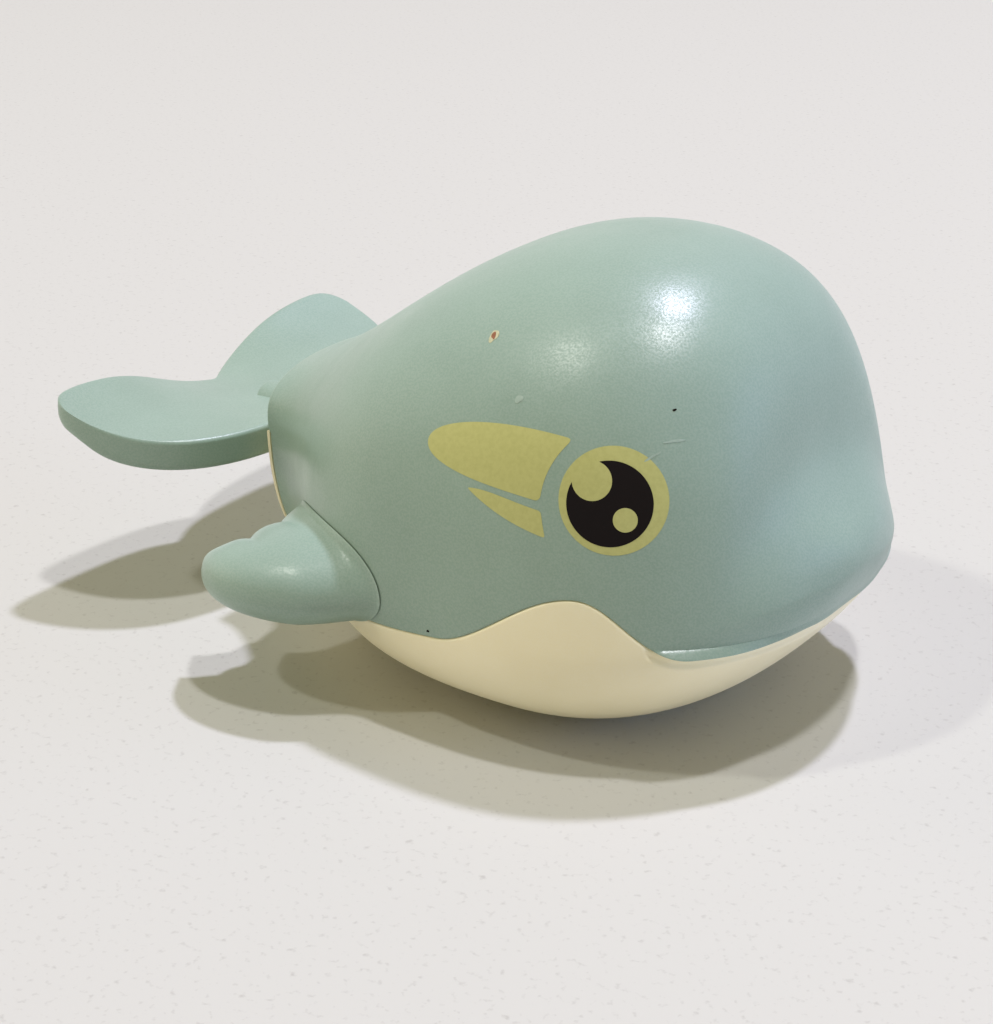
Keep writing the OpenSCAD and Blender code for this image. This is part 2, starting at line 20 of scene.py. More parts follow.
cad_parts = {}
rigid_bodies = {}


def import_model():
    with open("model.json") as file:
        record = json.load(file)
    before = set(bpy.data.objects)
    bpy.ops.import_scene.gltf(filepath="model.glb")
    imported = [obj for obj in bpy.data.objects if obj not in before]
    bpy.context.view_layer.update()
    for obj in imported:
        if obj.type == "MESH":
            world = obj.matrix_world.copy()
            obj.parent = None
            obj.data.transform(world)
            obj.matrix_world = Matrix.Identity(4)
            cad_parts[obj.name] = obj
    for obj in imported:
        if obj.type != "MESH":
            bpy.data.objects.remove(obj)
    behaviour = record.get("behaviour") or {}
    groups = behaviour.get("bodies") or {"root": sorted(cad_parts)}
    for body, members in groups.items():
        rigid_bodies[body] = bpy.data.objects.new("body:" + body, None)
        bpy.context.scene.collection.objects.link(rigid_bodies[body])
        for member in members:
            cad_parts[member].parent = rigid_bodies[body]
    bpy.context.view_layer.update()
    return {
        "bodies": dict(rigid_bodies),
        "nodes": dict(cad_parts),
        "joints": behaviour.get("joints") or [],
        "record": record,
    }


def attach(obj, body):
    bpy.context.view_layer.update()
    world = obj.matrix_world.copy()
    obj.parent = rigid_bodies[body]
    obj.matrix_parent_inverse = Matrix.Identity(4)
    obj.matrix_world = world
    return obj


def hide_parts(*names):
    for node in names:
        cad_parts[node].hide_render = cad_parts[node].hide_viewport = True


log = logging.getLogger("whale")
MM = 0.001
# Points closer than this many metres are one point.
MERGE_M = 3e-7
# Edges sharper than this many degrees are rounded by a bevel.
BEVEL_OVER_DEG = 50
# How far a cutter reaches past a face, in millimetres.
OVERRUN = 1.0
# Keeps a divisor or a height clear of zero or of a pole, in millimetres.
LEAST = 0.01
EDGE_TURN = "edge_turn"
UP = Vector((0, 0, 1))
Points = np.ndarray
Pair = tuple[float, float]
Triple = tuple[float, float, float]
Place = Callable[[Points, Points], Points]


class Side(Enum):
    """The two sides of the whale, as the sign of Y."""

    RIGHT = -1
    LEFT = 1


class Body(Enum):
    """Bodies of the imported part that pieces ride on."""

    SHELL = "body"
    TAIL = "tail"


class Slot(Enum):
    """Material slots of the record."""

    GREEN = "green_plastic"
    CREAM = "cream_plastic"
    STEEL = "steel"
    SPRING = "spring_steel"
    BRASS = "brass"
    RUBBER = "seal_rubber"


class Merge(Enum):
    """Ways to combine two solids, by their names in the modifier."""

    ADD = "UNION"
    CUT = "DIFFERENCE"


# Curves


def clamp(value: Points, low: float, high: float) -> Points:
    """Keeps values between two limits."""
    return np.minimum(np.maximum(value, low), high)


def ease(value: Points) -> Points:
    """Falls from 1 at 0 to 0 at 1 on a half cosine."""
    return (1 + np.cos(np.pi * clamp(value, 0, 1))) / 2


def rise(value: Points, start: float, end: float) -> Points:
    """Rises smoothly from 0 at start to 1 at end."""
    return 1 - ease((value - start) / (end - start))


def arch(u: Points, p: float | Points, q: float | Points) -> Points:
    """Falls from 1 at 0 to 0 at 1 on a superellipse."""
    return np.maximum(1 - clamp(u, 0, 1) ** p, 0) ** (1 / q)


def bezier(points: tuple[Pair, ...], t: Points) -> Points:
    """Points of a cubic curve.

    Args:
        points: The four control points.
        t: Places along the curve, 0 to 1.

    Returns:
        One row per place.
    """
    a, b, c, d = (np.array(p, float) for p in points)
    t = np.asarray(t, float)[..., None]
    return a * (1 - t) ** 3 + b * 3 * t * (1 - t) ** 2 + c * 3 * t * t * (1 - t) + d * t**3


def round_edge(distance: Points, radius: float) -> Points:
    """How far a rounded edge falls back, at a distance from the edge."""
    gap = clamp(radius - distance, 0, radius)
    return radius - np.sqrt(np.maximum(radius * radius - gap * gap, 0))


# Modelling


def deselect() -> None:
    """Leaves edit mode and drops the selection."""
    if bpy.context.object and bpy.context.object.mode != "OBJECT":
        bpy.ops.object.mode_set(mode="OBJECT")
    bpy.ops.object.select_all(action="DESELECT")


def activate(piece: bpy.types.Object) -> None:
    """Selects one piece alone and makes it active.

    Args:
        piece: The piece.
    """
    deselect()
    piece.select_set(True)
    bpy.context.view_layer.objects.active = piece


def named(name: str) -> bpy.types.Object:
    """Names the piece that was just added, with its mesh.

    Args:
        name: The new name.

    Returns:
        The piece.
    """
    piece = bpy.context.object
    piece.name = name
    piece.data.name = name
    return piece


def get_points(piece: bpy.types.Object) -> Points:
    """Vertex places of a piece.

    Args:
        piece: The piece.

    Returns:
        One row per vertex, in the piece's own units.
    """
    flat = np.empty(len(piece.data.vertices) * 3)
    piece.data.vertices.foreach_get("co", flat)
    return flat.reshape(-1, 3)


def set_points(piece: bpy.types.Object, points: Points) -> None:
    """Writes vertex places to a piece."""
    piece.data.vertices.foreach_set("co", np.ascontiguousarray(points).ravel())
    piece.data.update()


def shaped_grid(name: str, rows: int, columns: int, place: Place) -> bpy.types.Object:
    """A grid primitive with its points moved onto a surface.

    Args:
        name: Name of the piece.
        rows: Faces along the first direction.
        columns: Faces along the second direction.
        place: Gives millimetre points for two arrays that run 0 to 1 along the grid.

    Returns:
        The piece, with meeting edges merged.
    """
    deselect()
    bpy.ops.mesh.primitive_grid_add(x_subdivisions=rows, y_subdivisions=columns, size=1)
    piece = named(name)
    flat = get_points(piece) + 0.5
    u = np.round(flat[:, 0] * rows) / rows
    v = np.round(flat[:, 1] * columns) / columns
    set_points(piece, place(u, v) * MM)
    bpy.ops.object.mode_set(mode="EDIT")
    bpy.ops.mesh.select_all(action="SELECT")
    bpy.ops.mesh.remove_doubles(threshold=MERGE_M)
    bpy.ops.mesh.dissolve_degenerate(threshold=MERGE_M)
    bpy.ops.mesh.normals_make_consistent(inside=False)
    bpy.ops.object.mode_set(mode="OBJECT")
    return piece


def join(pieces: list[bpy.types.Object]) -> bpy.types.Object:
    """Joins pieces into the first of them.

    Args:
        pieces: The pieces, at least one.

    Returns:
        The joined piece, which is then active.
    """
    activate(pieces[0])
    for other in pieces[1:]:
        other.select_set(True)
    if len(pieces) > 1:
        bpy.ops.object.join()
    return pieces[0]


def joined_skins(name: str, outer: bpy.types.Object, inner: bpy.types.Object) -> bpy.types.Object:
    """Joins an outer and an inner skin and bridges their open edges into one wall.

    Args:
        name: Name of the wall.
        outer: The outside.
        inner: The inside.

    Returns:
        The closed piece.
    """
    join([outer, inner])
    piece = named(name)
    bpy.ops.object.mode_set(mode="EDIT")
    bpy.ops.mesh.select_mode(type="EDGE")
    bpy.ops.mesh.select_all(action="DESELECT")
    bpy.ops.mesh.select_non_manifold(extend=False, use_wire=False, use_multi_face=False,
                                     use_non_contiguous=False, use_verts=False)
    bpy.ops.mesh.bridge_edge_loops()
    bpy.ops.mesh.select_mode(type="VERT")
    bpy.ops.mesh.select_all(action="SELECT")
    bpy.ops.mesh.normals_make_consistent(inside=False)
    bpy.ops.object.mode_set(mode="OBJECT")
    return piece


def smooth_by_angle(piece: bpy.types.Object, degrees: float) -> None:
    """Shades a piece smooth, with edges sharper than an angle kept crisp."""
    activate(piece)
    bpy.ops.object.shade_smooth_by_angle(angle=math.radians(degrees))


def apply_modifier(piece: bpy.types.Object, kind: str, **settings: object) -> None:
    """Adds a modifier with its settings and applies it.

    Args:
        piece: The piece.
        kind: Blender's modifier type.
        **settings: Values for the modifier's own properties.
    """
    activate(piece)
    modifier = piece.modifiers.new(kind.title(), kind)
    for key, value in settings.items():
        setattr(modifier, key, value)
    bpy.ops.object.modifier_apply(modifier=modifier.name)


def round_off(piece: bpy.types.Object, width: float, segments: int) -> None:
    """Rounds the sharp edges of a piece.

    Args:
        piece: The piece.
        width: Width of the rounding, in millimetres.
        segments: Faces across it.
    """
    apply_modifier(piece, "BEVEL", width=width * MM, segments=segments, limit_method="ANGLE",
                   angle_limit=math.radians(BEVEL_OVER_DEG))


def combine(piece: bpy.types.Object, other: bpy.types.Object, merge: Merge) -> None:
    """Adds one piece to another or cuts it out, and removes it."""
    apply_modifier(piece, "BOOLEAN", operation=merge.value, object=other, solver="EXACT")
    bpy.data.objects.remove(other)


def turned_to(way: Vector) -> Matrix:
    """The turn that takes Z to a direction."""
    return UP.rotation_difference(way).to_matrix().to_4x4()


def rod(start: Vector, end: Vector, radius: float, vertices: int = 64) -> bpy.types.Object:
    """A round bar between two points, as a start for a piece or as a cutter.

    Args:
        start: Middle of one end, in millimetres.
        end: Middle of the other end.
        radius: Radius in millimetres.
        vertices: Points around it.

    Returns:
        The bar, at the origin.
    """
    deselect()
    way = end - start
    bpy.ops.mesh.primitive_cylinder_add(vertices=vertices, radius=radius * MM, depth=way.length * MM)
    bar = bpy.context.object
    bar.data.transform(Matrix.Translation((start + end) * 0.5 * MM) @ turned_to(way))
    return bar


def mark_edges(piece: bpy.types.Object) -> None:
    """Stores on each vertex how sharply the surface turns outward there, for edge wear in the finishes.

    Args:
        piece: The piece.
    """
    mesh = piece.data
    points, normals = get_points(piece), np.empty(len(mesh.vertices) * 3)
    mesh.vertex_normals.foreach_get("vector", normals)
    normals = normals.reshape(-1, 3)
    ends = np.empty(len(mesh.edges) * 2, int)
    mesh.edges.foreach_get("vertices", ends)
    first, second = ends.reshape(-1, 2).T
    way = points[second] - points[first]
    way /= np.maximum(np.linalg.norm(way, axis=1, keepdims=True), 1e-12)
    count = np.maximum(np.bincount(ends, minlength=len(points)), 1)
    turn = np.zeros(len(points))
    np.add.at(turn, first, -(normals[first] * way).sum(1))
    np.add.at(turn, second, (normals[second] * way).sum(1))
    turn /= count
    soft = turn.copy()
    np.add.at(soft, first, turn[second])
    np.add.at(soft, second, turn[first])
    mesh.attributes.new(EDGE_TURN, "FLOAT", "POINT").data.foreach_set("value", soft / (count + 1))


def place_on(piece: bpy.types.Object, body: Body, finish: bpy.types.Material,
             nodes: tuple[str, ...] = ()) -> bpy.types.Object:
    """Gives a finished piece its material and its body, and hides the CAD nodes that it stands for.

    Args:
        piece: The piece.
        body: Body that it moves with.
        finish: Its material.
        nodes: CAD nodes that it replaces.

    Returns:
        The piece.
    """
    piece.data.materials.clear()
    piece.data.materials.append(finish)
    mark_edges(piece)
    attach(piece, body.value)
    if nodes:
        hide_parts(*nodes)
    log.info("%s: %d faces on %s", piece.name, len(piece.data.polygons), body.value)
    return piece


# Finishes


def linear(colour: str) -> tuple[float, float, float, float]:
    """Turns an sRGB hex colour into a linear one.

    Args:
        colour: A hash sign and six hex digits.

    Returns:
        Linear red, green and blue, with full alpha.
    """
    parts = [int(colour[i:i + 2], 16) / 255 for i in (1, 3, 5)]
    red, green, blue = (p / 12.92 if p <= 0.04045 else ((p + 0.055) / 1.055) ** 2.4 for p in parts)
    return red, green, blue, 1.0


def set_inputs(tree: bpy.types.NodeTree, node: bpy.types.Node, inputs: dict[str | int, object]) -> None:
    """Gives a node its values and links.

    Args:
        tree: Node tree that the node is in.
        node: The node.
        inputs: Value, or output socket to link, for each input by name or number.
    """
    for key, value in inputs.items():
        if isinstance(value, bpy.types.NodeSocket):
            tree.links.new(value, node.inputs[key])
        else:
            node.inputs[key].default_value = value


def add_node(tree: bpy.types.NodeTree, kind: str, inputs: dict[str | int, object] | None = None,
             stops: tuple[tuple[float, str], ...] = (), **settings: object) -> bpy.types.Node:
    """Adds a node with its settings, values and links.

    Args:
        tree: Node tree to add to.
        kind: Blender's node type.
        inputs: Value, or output socket to link, for each input by name or number.
        stops: Place and colour of the two stops of a ramp.
        **settings: Values for the node's own properties.

    Returns:
        The node.
    """
    node = tree.nodes.new(kind)
    for key, value in settings.items():
        setattr(node, key, value)
    for number, (place, colour) in enumerate(stops):
        node.color_ramp.elements[number].position = place
        node.color_ramp.elements[number].color = linear(colour)
    set_inputs(tree, node, inputs or {})
    return node


def new_material(name: str) -> tuple[bpy.types.Material, bpy.types.NodeTree, bpy.types.Node]:
    """An empty material with its shader.

    Args:
        name: Name of the material.

    Returns:
        The material, its node tree and its Principled shader.
    """
    material = bpy.data.materials.new(name)
    material.use_nodes = True
    tree = material.node_tree
    tree.nodes.clear()
    shader = add_node(tree, "ShaderNodeBsdfPrincipled")
    add_node(tree, "ShaderNodeOutputMaterial", {"Surface": shader.outputs["BSDF"]})
    return material, tree, shader


@dataclass(frozen=True)
class MouldedPlastic:
    """Satin injection-moulded ABS: even colour with a faint cloudiness, spark-eroded grain and rubbed edges.

    The grain breaks a lamp's reflection into fine sparkle. It is near 0.15 mm on the real toy and is drawn
    a little coarser, so that it shows in the render.
    """

    name: str
    colour: str
    shade: str
    rubbed: str
    roughness: float = 0.33
    polished: float = 0.03
    scuffed: float = 0.09
    grain_mm: float = 0.28
    grain_depth_mm: float = 0.012
    facet_dull: float = 0.28
    facet_bright: float = 0.8
    cloud_mm: float = 14.0
    scuff_mm: float = 6.0
    wear_from: float = 0.09
    wear_full: float = 0.37
    wear_share: float = 0.5
    ior: float = 1.54

    def build(self) -> bpy.types.Material:
        """Makes the material.

        Returns:
            The material.
        """
        material, tree, shader = new_material(self.name)
        place = add_node(tree, "ShaderNodeTexCoord").outputs["Object"]
        cloud = add_node(tree, "ShaderNodeTexNoise", {
            "Vector": place, "Scale": 1 / (self.cloud_mm * MM), "Detail": 3.0, "Roughness": 0.55})
        grain = add_node(tree, "ShaderNodeTexNoise", {
            "Vector": place, "Scale": 1 / (self.grain_mm * MM), "Detail": 1.0})
        scuff = add_node(tree, "ShaderNodeTexNoise", {
            "Vector": place, "Scale": 1 / (self.scuff_mm * MM), "Detail": 5.0, "Roughness": 0.7})
        colour = add_node(tree, "ShaderNodeValToRGB", {"Fac": cloud.outputs["Fac"]},
                          stops=((0.3, self.shade), (0.7, self.colour)))
        edge = add_node(tree, "ShaderNodeAttribute", attribute_name=EDGE_TURN)
        wear = add_node(tree, "ShaderNodeMapRange", {
            "Value": edge.outputs["Fac"], "From Min": self.wear_from, "From Max": self.wear_full,
            "To Min": 0.0, "To Max": self.wear_share})
        worn = add_node(tree, "ShaderNodeMix", {
            "Factor": wear.outputs["Result"], "A": colour.outputs["Color"], "B": linear(self.rubbed)},
            data_type="RGBA")
        gloss = add_node(tree, "ShaderNodeMapRange", {
            "Value": scuff.outputs["Fac"], "From Min": 0.35, "From Max": 0.75,
            "To Min": self.roughness - self.polished, "To Max": self.roughness + self.scuffed})
        facets = add_node(tree, "ShaderNodeMapRange", {
            "Value": grain.outputs["Fac"], "From Min": 0.38, "From Max": 0.62,
            "To Min": self.facet_dull, "To Max": self.facet_bright})
        bump = add_node(tree, "ShaderNodeBump", {
            "Height": grain.outputs["Fac"], "Strength": 1.0, "Distance": self.grain_depth_mm * MM})
        set_inputs(tree, shader, {
            "Base Color": worn.outputs["Result"], "Roughness": gloss.outputs["Result"],
            "Specular IOR Level": facets.outputs["Result"], "Normal": bump.outputs["Normal"],
            "IOR": self.ior})
        return material


@dataclass(frozen=True)
class PadInk:
    """Pad-printed ink: a thin satin film on the plastic, with a faint mottle where it was pressed on."""

    name: str
    colour: str
    shade: str
    roughness: float = 0.42
    specular: float = 0.5
    mottle_mm: float = 0.7
    mottle_depth_mm: float = 0.01

    def build(self) -> bpy.types.Material:
        """Makes the material.

        Returns:
            The material.
        """
        material, tree, shader = new_material(self.name)
        place = add_node(tree, "ShaderNodeTexCoord").outputs["Object"]
        mottle = add_node(tree, "ShaderNodeTexNoise", {
            "Vector": place, "Scale": 1 / (self.mottle_mm * MM), "Detail": 4.0, "Roughness": 0.65})
        colour = add_node(tree, "ShaderNodeValToRGB", {"Fac": mottle.outputs["Fac"]},
                          stops=((0.35, self.shade), (0.6, self.colour)))
        bump = add_node(tree, "ShaderNodeBump", {
            "Height": mottle.outputs["Fac"], "Strength": 0.25, "Distance": self.mottle_depth_mm * MM})
        set_inputs(tree, shader, {
            "Base Color": colour.outputs["Color"], "Normal": bump.outputs["Normal"],
            "Roughness": self.roughness, "Specular IOR Level": self.specular})
        return material


@dataclass(frozen=True)
class ToolMarkedMetal:
    """Stamped or turned metal: fine marks left by the tool spread the reflection along one direction."""

    name: str
    colour: str
    roughness: float = 0.3
    polished: float = 0.1
    dulled: float = 0.12
    mark_mm: float = 0.2
    mark_depth_mm: float = 0.01
    stretch: Triple = (0.15, 1.0, 1.0)

    def build(self) -> bpy.types.Material:
        """Makes the material.

        Returns:
            The material.
        """
        material, tree, shader = new_material(self.name)
        place = add_node(tree, "ShaderNodeTexCoord").outputs["Object"]
        along = add_node(tree, "ShaderNodeMapping", {"Vector": place, "Scale": self.stretch})
        marks = add_node(tree, "ShaderNodeTexNoise", {
            "Vector": along.outputs["Vector"], "Scale": 1 / (self.mark_mm * MM), "Detail": 3.0})
        gloss = add_node(tree, "ShaderNodeMapRange", {
            "Value": marks.outputs["Fac"], "From Min": 0.3, "From Max": 0.7,
            "To Min": self.roughness - self.polished, "To Max": self.roughness + self.dulled})
        bump = add_node(tree, "ShaderNodeBump", {
            "Height": marks.outputs["Fac"], "Strength": 0.3, "Distance": self.mark_depth_mm * MM})
        set_inputs(tree, shader, {
            "Base Color": linear(self.colour), "Metallic": 1.0,
            "Roughness": gloss.outputs["Result"], "Normal": bump.outputs["Normal"]})
        return material


@dataclass(frozen=True)
class MouldedRubber:
    """Moulded nitrile rubber: near black and matt, with a faint bloom."""

    name: str
    colour: str
    bloom: str
    roughness: float = 0.75
    bloom_mm: float = 0.8

    def build(self) -> bpy.types.Material:
        """Makes the material.

        Returns:
            The material.
        """
        material, tree, shader = new_material(self.name)
        place = add_node(tree, "ShaderNodeTexCoord").outputs["Object"]
        cloud = add_node(tree, "ShaderNodeTexNoise", {
            "Vector": place, "Scale": 1 / (self.bloom_mm * MM), "Detail": 3.0})
        colour = add_node(tree, "ShaderNodeMix", {
            "Factor": cloud.outputs["Fac"], "A": linear(self.colour), "B": linear(self.bloom)},
            data_type="RGBA")
        set_inputs(tree, shader, {"Base Color": colour.outputs["Result"], "Roughness": self.roughness})
        return material


@dataclass
class Finishes:
    """Every material of the toy, made once, in this order."""

    green: bpy.types.Material = field(default_factory=MouldedPlastic(
        "moulded_abs_grey_green", "#92a99b", "#8ca395", "#b6cbbf").build)
    cream: bpy.types.Material = field(default_factory=MouldedPlastic(
        "moulded_abs_cream", "#fbf2cf", "#f6ecc7", "#fefae4", grain_depth_mm=0.004).build)
    iris: bpy.types.Material = field(default_factory=PadInk(
        "pad_ink_yellow_green", "#bfbf7a", "#b8b873").build)
    pupil: bpy.types.Material = field(default_factory=PadInk(
        "pad_ink_dark_brown", "#0d0504", "#0a0403", roughness=0.6, specular=0.15).build)
    chip: bpy.types.Material = field(default_factory=PadInk(
        "exposed_plastic_pale", "#c6c6a6", "#b5b58f", roughness=0.7, specular=0.2).build)
    dirt: bpy.types.Material = field(default_factory=PadInk(
        "ingrained_dirt_brown", "#9a6a50", "#845840", roughness=0.7, specular=0.2).build)
    scuff: bpy.types.Material = field(default_factory=PadInk(
        "rubbed_abs_pale_green", "#a6b9ad", "#9db1a4", roughness=0.6, specular=0.3).build)
    steel: bpy.types.Material = field(default_factory=ToolMarkedMetal(
        "zinc_plated_steel", "#b9bbbe").build)
    spring: bpy.types.Material = field(default_factory=ToolMarkedMetal(
        "tempered_spring_steel", "#7d8087", roughness=0.35).build)
    brass: bpy.types.Material = field(default_factory=ToolMarkedMetal(
        "turned_brass", "#cdb06c", roughness=0.28).build)
    rubber: bpy.types.Material = field(default_factory=MouldedRubber(
        "moulded_nitrile_rubber", "#161616", "#1f1f1e").build)

    def of_slot(self, slot: Slot) -> bpy.types.Material:
        """The material for a slot of the record."""
        return {Slot.GREEN: self.green, Slot.CREAM: self.cream, Slot.STEEL: self.steel,
                Slot.SPRING: self.spring, Slot.BRASS: self.brass, Slot.RUBBER: self.rubber}[slot]


# The body


@dataclass
class WhaleForm:
    """Outer curves of the body. In every method, depth is how far inside the outer surface.

    Fields that end in x or z are places, in w or h half widths and heights, in k, m, n, p or q exponents.
    """

    body_h: float = 66.0
    half_w: float = 36.6
    nose_x: float = 45.3
    brow_x: float = 37.5
    apex_x: float = 11.7
    rear_x: float = -47.3
    rear_w: float = 15.2
    rear_top: float = 37.7
    rear_bot: float = 5.6
    lip_z: float = 26.3
    lip_h: float = 9.0
    lip_k: float = 2.2
    foot_cut: float = 0.6
    wall: float = 2.2
    brow_p: float = 2.09
    brow_q: float = 3.56
    back_k: float = 1.15
    back_mix: float = 0.43
    chin_x: float = 7.4
    chin_p: float = 2.21
    chin_q: float = 1.38
    belly_p: float = 3.0
    wide_x: float = 0.1
    plan_p: float = 2.46
    plan_q: float = 2.02
    plan_k: float = 1.57
    wide_z: float = 17.8
    wide_rear_z: float = 30.5
    wide_k: float = 0.2
    up_n: float = 2.58
    up_m: float = 2.32
    low_n: float = 2.2
    low_m: float = 2.4
    nose_n: float = 1.05
    nose_m: float = 3.53
    nose_from: float = 16.0
    seam_z: float = 16.8
    seam_tilt: float = 0.12
    seam_low_x: float = 1.0
    seam_crest_x: float = 21.4
    seam_crest_z: float = 27.0
    mouth_x: float = 34.0
    mouth_z: float = 19.3
    flange_t: float = 0.5
    flange_top: float = 28.4
    shaft_z: float = 25.5
    row_k: float = 1.3
    past_rear: float = 1.2
    profile_steps: int = 3000

    def front_x(self, z: Points, depth: float) -> Points:
        """Front of brow and lip, on the middle line.

        Args:
            z: Heights.
            depth: Depth inside the outer surface.

        Returns:
            Places along X.
        """
        above = np.maximum(z - self.lip_z, 0)
        brow = arch(above / (self.body_h - depth - self.lip_z), self.brow_q, self.brow_p)
        flare = np.exp(-(above / self.lip_h) ** self.lip_k)
        return self.apex_x + (self.brow_x - depth - self.apex_x) * brow + (self.nose_x - self.brow_x) * flare

    def front_heights(self, turn: Points, depth: float) -> Points:
        """Heights down the front, for turns that run 0 at the top of the back to 1 at the lip."""
        fall = np.maximum(np.cos(np.pi / 2 * turn), 0) ** self.row_k
        return self.lip_z + (self.body_h - depth - self.lip_z) * fall

    def top_z(self, x: Points, depth: float) -> Points:
        """Middle line of back, brow and lip.

        Args:
            x: Places along X.
            depth: Depth inside the outer surface.

        Returns:
            Heights.
        """
        heights = self.front_heights(np.linspace(0, 1, self.profile_steps), depth)
        front = np.interp(x, self.front_x(heights, depth), heights)
        v = clamp((self.apex_x - x) / (self.apex_x - self.rear_x), 0, 1)
        back = (1 - self.back_mix) * ease(v**self.back_k) + self.back_mix * (1 - v * v)
        return np.where(x > self.apex_x, front, self.rear_top - depth + (self.body_h - self.rear_top) * back)

    def bot_z(self, x: Points, depth: float) -> Points:
        """Middle line of belly and chin, before the foot is cut flat.

        Args:
            x: Places along X.
            depth: Depth inside the outer surface.

        Returns:
            Heights.
        """
        chin = arch((x - self.chin_x) / (self.nose_x - depth - self.chin_x), self.chin_p, self.chin_q)
        lift = self.rear_bot * clamp(x / self.rear_x, 0, self.past_rear) ** self.belly_p
        return depth - self.foot_cut + (self.lip_z + self.foot_cut - depth) * (1 - chin) + lift

    def plan_w(self, x: Points, depth: float) -> Points:
        """Half width seen from above.

        Args:
            x: Places along X.
            depth: Depth inside the outer surface.

        Returns:
            Half widths.
        """
        u = (x - self.wide_x) / (self.nose_x - depth - self.wide_x)
        v = np.maximum((self.wide_x - x) / (self.wide_x - self.rear_x), 0)
        front = (self.half_w - depth) * arch(u, self.plan_p, self.plan_q)
        back = self.rear_w - depth + (self.half_w - self.rear_w) * ease(v**self.plan_k)
        return np.where(x > self.wide_x, front, back)

    def mid_z(self, x: Points, depth: float) -> Points:
        """Widest line of the body, seen from the side.

        Args:
            x: Places along X.
            depth: Depth inside the outer surface.

        Returns:
            Heights.
        """
        u = clamp((x - self.wide_x) / (self.nose_x - depth - self.wide_x), 0, 1)
        v = clamp((self.wide_x - x) / (self.wide_x - self.rear_x), 0, 1)
        climb = (1 + self.wide_k) * v * v / (v + self.wide_k)
        return self.wide_z + (self.lip_z - self.wide_z) * u * u + (self.wide_rear_z - self.wide_z) * climb

    def side_y(self, x: Points, z: Points, depth: float = 0.0) -> Points:
        """Half width of the body at a place in side view.

        Args:
            x: Places along X.
            z: Heights.
            depth: Depth inside the outer surface.

        Returns:
            Half widths.
        """
        middle, top, low = self.mid_z(x, depth), self.top_z(x, depth), self.bot_z(x, depth)
        t = clamp((x - self.nose_from) / (self.nose_x - self.nose_from), 0, 1)
        front = t * t * (3 - 2 * t)
        up_n = self.up_n + (self.nose_n - self.up_n) * front
        up_m = self.up_m + (self.nose_m - self.up_m) * front
        up = arch((z - middle) / np.maximum(top - middle, LEAST), up_n, up_m)
        down = arch((middle - z) / np.maximum(middle - low, LEAST), self.low_n, self.low_m)
        return self.plan_w(x, depth) * np.where(z >= middle, up, down)

    def seam(self, x: Points) -> Points:
        """Joint line between the shells, seen from the side.

        Args:
            x: Places along X.

        Returns:
            Heights.
        """
        t = np.maximum(x - self.seam_low_x, 0) / (self.seam_crest_x - self.seam_low_x)
        climb = (self.seam_z + (self.seam_crest_z - self.seam_z) * t * t * (3 - 2 * t)
                 + self.seam_tilt * (x - self.seam_low_x) * (1 - t) ** 2)
        drop = rise(x, self.seam_crest_x, self.mouth_x)
        fall = self.seam_crest_z + (self.mouth_z - self.seam_crest_z) * drop
        return np.where(x < self.seam_crest_x, climb, fall)

    def from_seam(self, x: Points, z: Points) -> Points:
        """Distance from the joint line, square to it.

        Args:
            x: Places along X.
            z: Heights.

        Returns:
            Distances, negative below the line.
        """
        step = 0.1
        slope = (self.seam(x + step) - self.seam(x - step)) / (2 * step)
        return (z - self.seam(x)) / np.sqrt(1 + slope * slope)

    def chin_at(self, z: Points, depth: float) -> Points:
        """Where the chin is at a height, on the middle line."""
        s = 1 - (z + self.foot_cut - depth) / (self.lip_z + self.foot_cut - depth)
        return self.chin_x + (self.nose_x - depth - self.chin_x) * (1 - s**self.chin_q) ** (1 / self.chin_p)

    def outward(self, points: Points) -> Points:
        """Outward directions of the body surface.

        Args:
            points: Points on the surface.

        Returns:
            One unit direction per point.
        """
        x, y, z = points.T
        step = 0.03

        def squared(a: Points, b: Points) -> Points:
            """Half width squared, which is smooth at the middle line too."""
            return self.side_y(a, b) ** 2

        along_x = (squared(x + step, z) - squared(x - step, z)) / (2 * step)
        along_z = (squared(x, z + step) - squared(x, z - step)) / (2 * step)
        normal = np.stack([-along_x, 2 * y, -along_z], -1)
        return normal / np.maximum(np.linalg.norm(normal, axis=1, keepdims=True), 1e-9)


